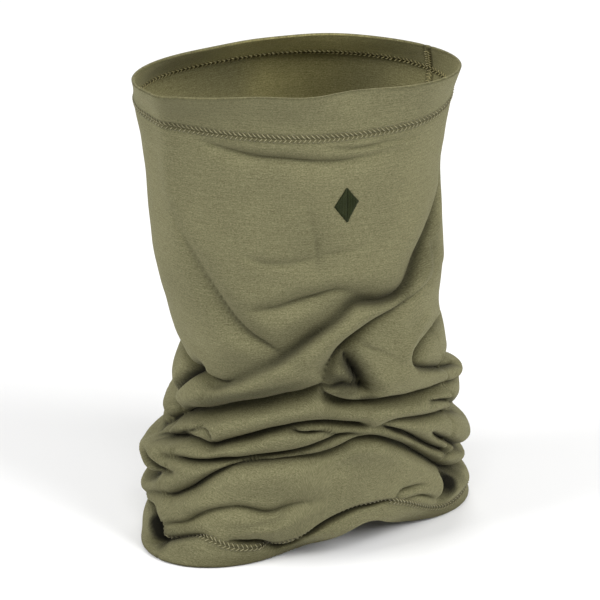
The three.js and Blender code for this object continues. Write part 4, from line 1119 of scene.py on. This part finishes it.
def felt(name, tone, dark):
    """Pressed non-woven backing."""
    m = Nodes(name)
    geo = m.new("ShaderNodeTexCoord").outputs["Object"]
    a = m.noise(geo, 1400.0, 4.0, 0.7, 1.5)
    b = m.noise(m.mapping(geo, (1, 1, 3)), 500.0, 3.0, 0.6)
    c = m.ramp(m.math("ADD", m.math("MULTIPLY", a, 0.6), m.math("MULTIPLY", b, 0.4)), [(0.35, lin(*dark)), (0.65, lin(*tone))])
    m.link(c, m.bsdf.inputs["Base Color"])
    m.bsdf.inputs["Roughness"].default_value = 0.95
    m.bsdf.inputs["Specular IOR Level"].default_value = 0.15
    n = m.new("ShaderNodeBump")
    n.inputs["Strength"].default_value = 0.6
    n.inputs["Distance"].default_value = 0.0002
    m.link(a, n.inputs["Height"])
    m.link(n.outputs[0], m.bsdf.inputs["Normal"])
    return m.mat


JERSEY = jersey("jersey")
# the hems take a stronger painted light on their inner face
JERSEY_HEM = jersey("jersey_hem", 0.985, (3.25, 3.15, 2.7))
panel.data.materials.append(JERSEY)
top.data.materials.append(JERSEY_HEM)
bot.data.materials.append(JERSEY_HEM)
LOOKS = {
    "cover_thread": thread("cover_thread", (158, 152, 115), (104, 99, 70)),
    "needle_thread": thread("needle_thread", (104, 99, 70), (66, 62, 42)),
    "mark_thread": thread("mark_thread", (50, 56, 32), (24, 28, 14), 900.0, 0.30, 0.05),
    "backing": felt("backing", (150, 145, 122), (118, 113, 92)),
}
for o, s in pieces:
    o.data.materials.append(LOOKS[s])


# -------------------------------------------------------------------- stage
sc = bpy.context.scene
floor_me = bpy.data.meshes.new("floor")
floor_me.from_pydata([(-3, -3, 0), (3, -3, 0), (3, 3, 0), (-3, 3, 0)], [], [(0, 1, 2, 3)])
floor = bpy.data.objects.new("floor", floor_me)
floor.location = (0, 0, -0.0002)
sc.collection.objects.link(floor)
fm = Nodes("pale_floor")
fm.bsdf.inputs["Base Color"].default_value = (0.80, 0.80, 0.80, 1)
fm.bsdf.inputs["Roughness"].default_value = 0.9
fm.bsdf.inputs["Specular IOR Level"].default_value = 0.1
floor_me.materials.append(fm.mat)

world = bpy.data.worlds.new("studio")
world.use_nodes = True
world.node_tree.nodes["Background"].inputs[0].default_value = (1.0, 1.0, 1.0, 1)
world.node_tree.nodes["Background"].inputs[1].default_value = 0.24
sc.world = world
sc.view_settings.view_transform = "Standard"
sc.view_settings.look = "None"


def area(name, at, aim, size, power, colour=(1, 1, 1)):
    d = bpy.data.lights.new(name, "AREA")
    d.shape = "RECTANGLE"
    d.size, d.size_y = size
    d.energy = power
    d.color = colour
    o = bpy.data.objects.new(name, d)
    v = np.asarray(at, float) - np.asarray(aim, float)
    from mathutils import Vector
    o.location = at
    o.rotation_euler = Vector(v).to_track_quat("Z", "Y").to_euler()
    sc.collection.objects.link(o)
    return o


area("key", (1.7, -1.0, 1.6), (0, 0, 0.15), (1.0, 1.4), 54)
area("fill", (-1.8, -0.7, 1.5), (0, 0, 0.15), (1.0, 1.4), 44)
area("top", (0.0, -1.3, 2.0), (0, 0, 0.15), (1.0, 0.8), 14)
area("back", (0.2, 1.8, 1.5), (0, 0, 0.15), (1.6, 1.0), 22)

CAM_D, CAM_E = 1.80, math.radians(25.0)
AIM = M([0, 0, 15.57])
cam_data = bpy.data.cameras.new("camera")
cam_data.sensor_width = 36.0
cam_data.lens = 16.3 * 180.0 * 36.0 / 600.0
cam = bpy.data.objects.new("camera", cam_data)
cam.location = (AIM[0], AIM[1] - CAM_D * math.cos(CAM_E), AIM[2] + CAM_D * math.sin(CAM_E))
cam.rotation_euler = (math.pi / 2 - CAM_E, 0, 0)
sc.collection.objects.link(cam)
sc.camera = cam
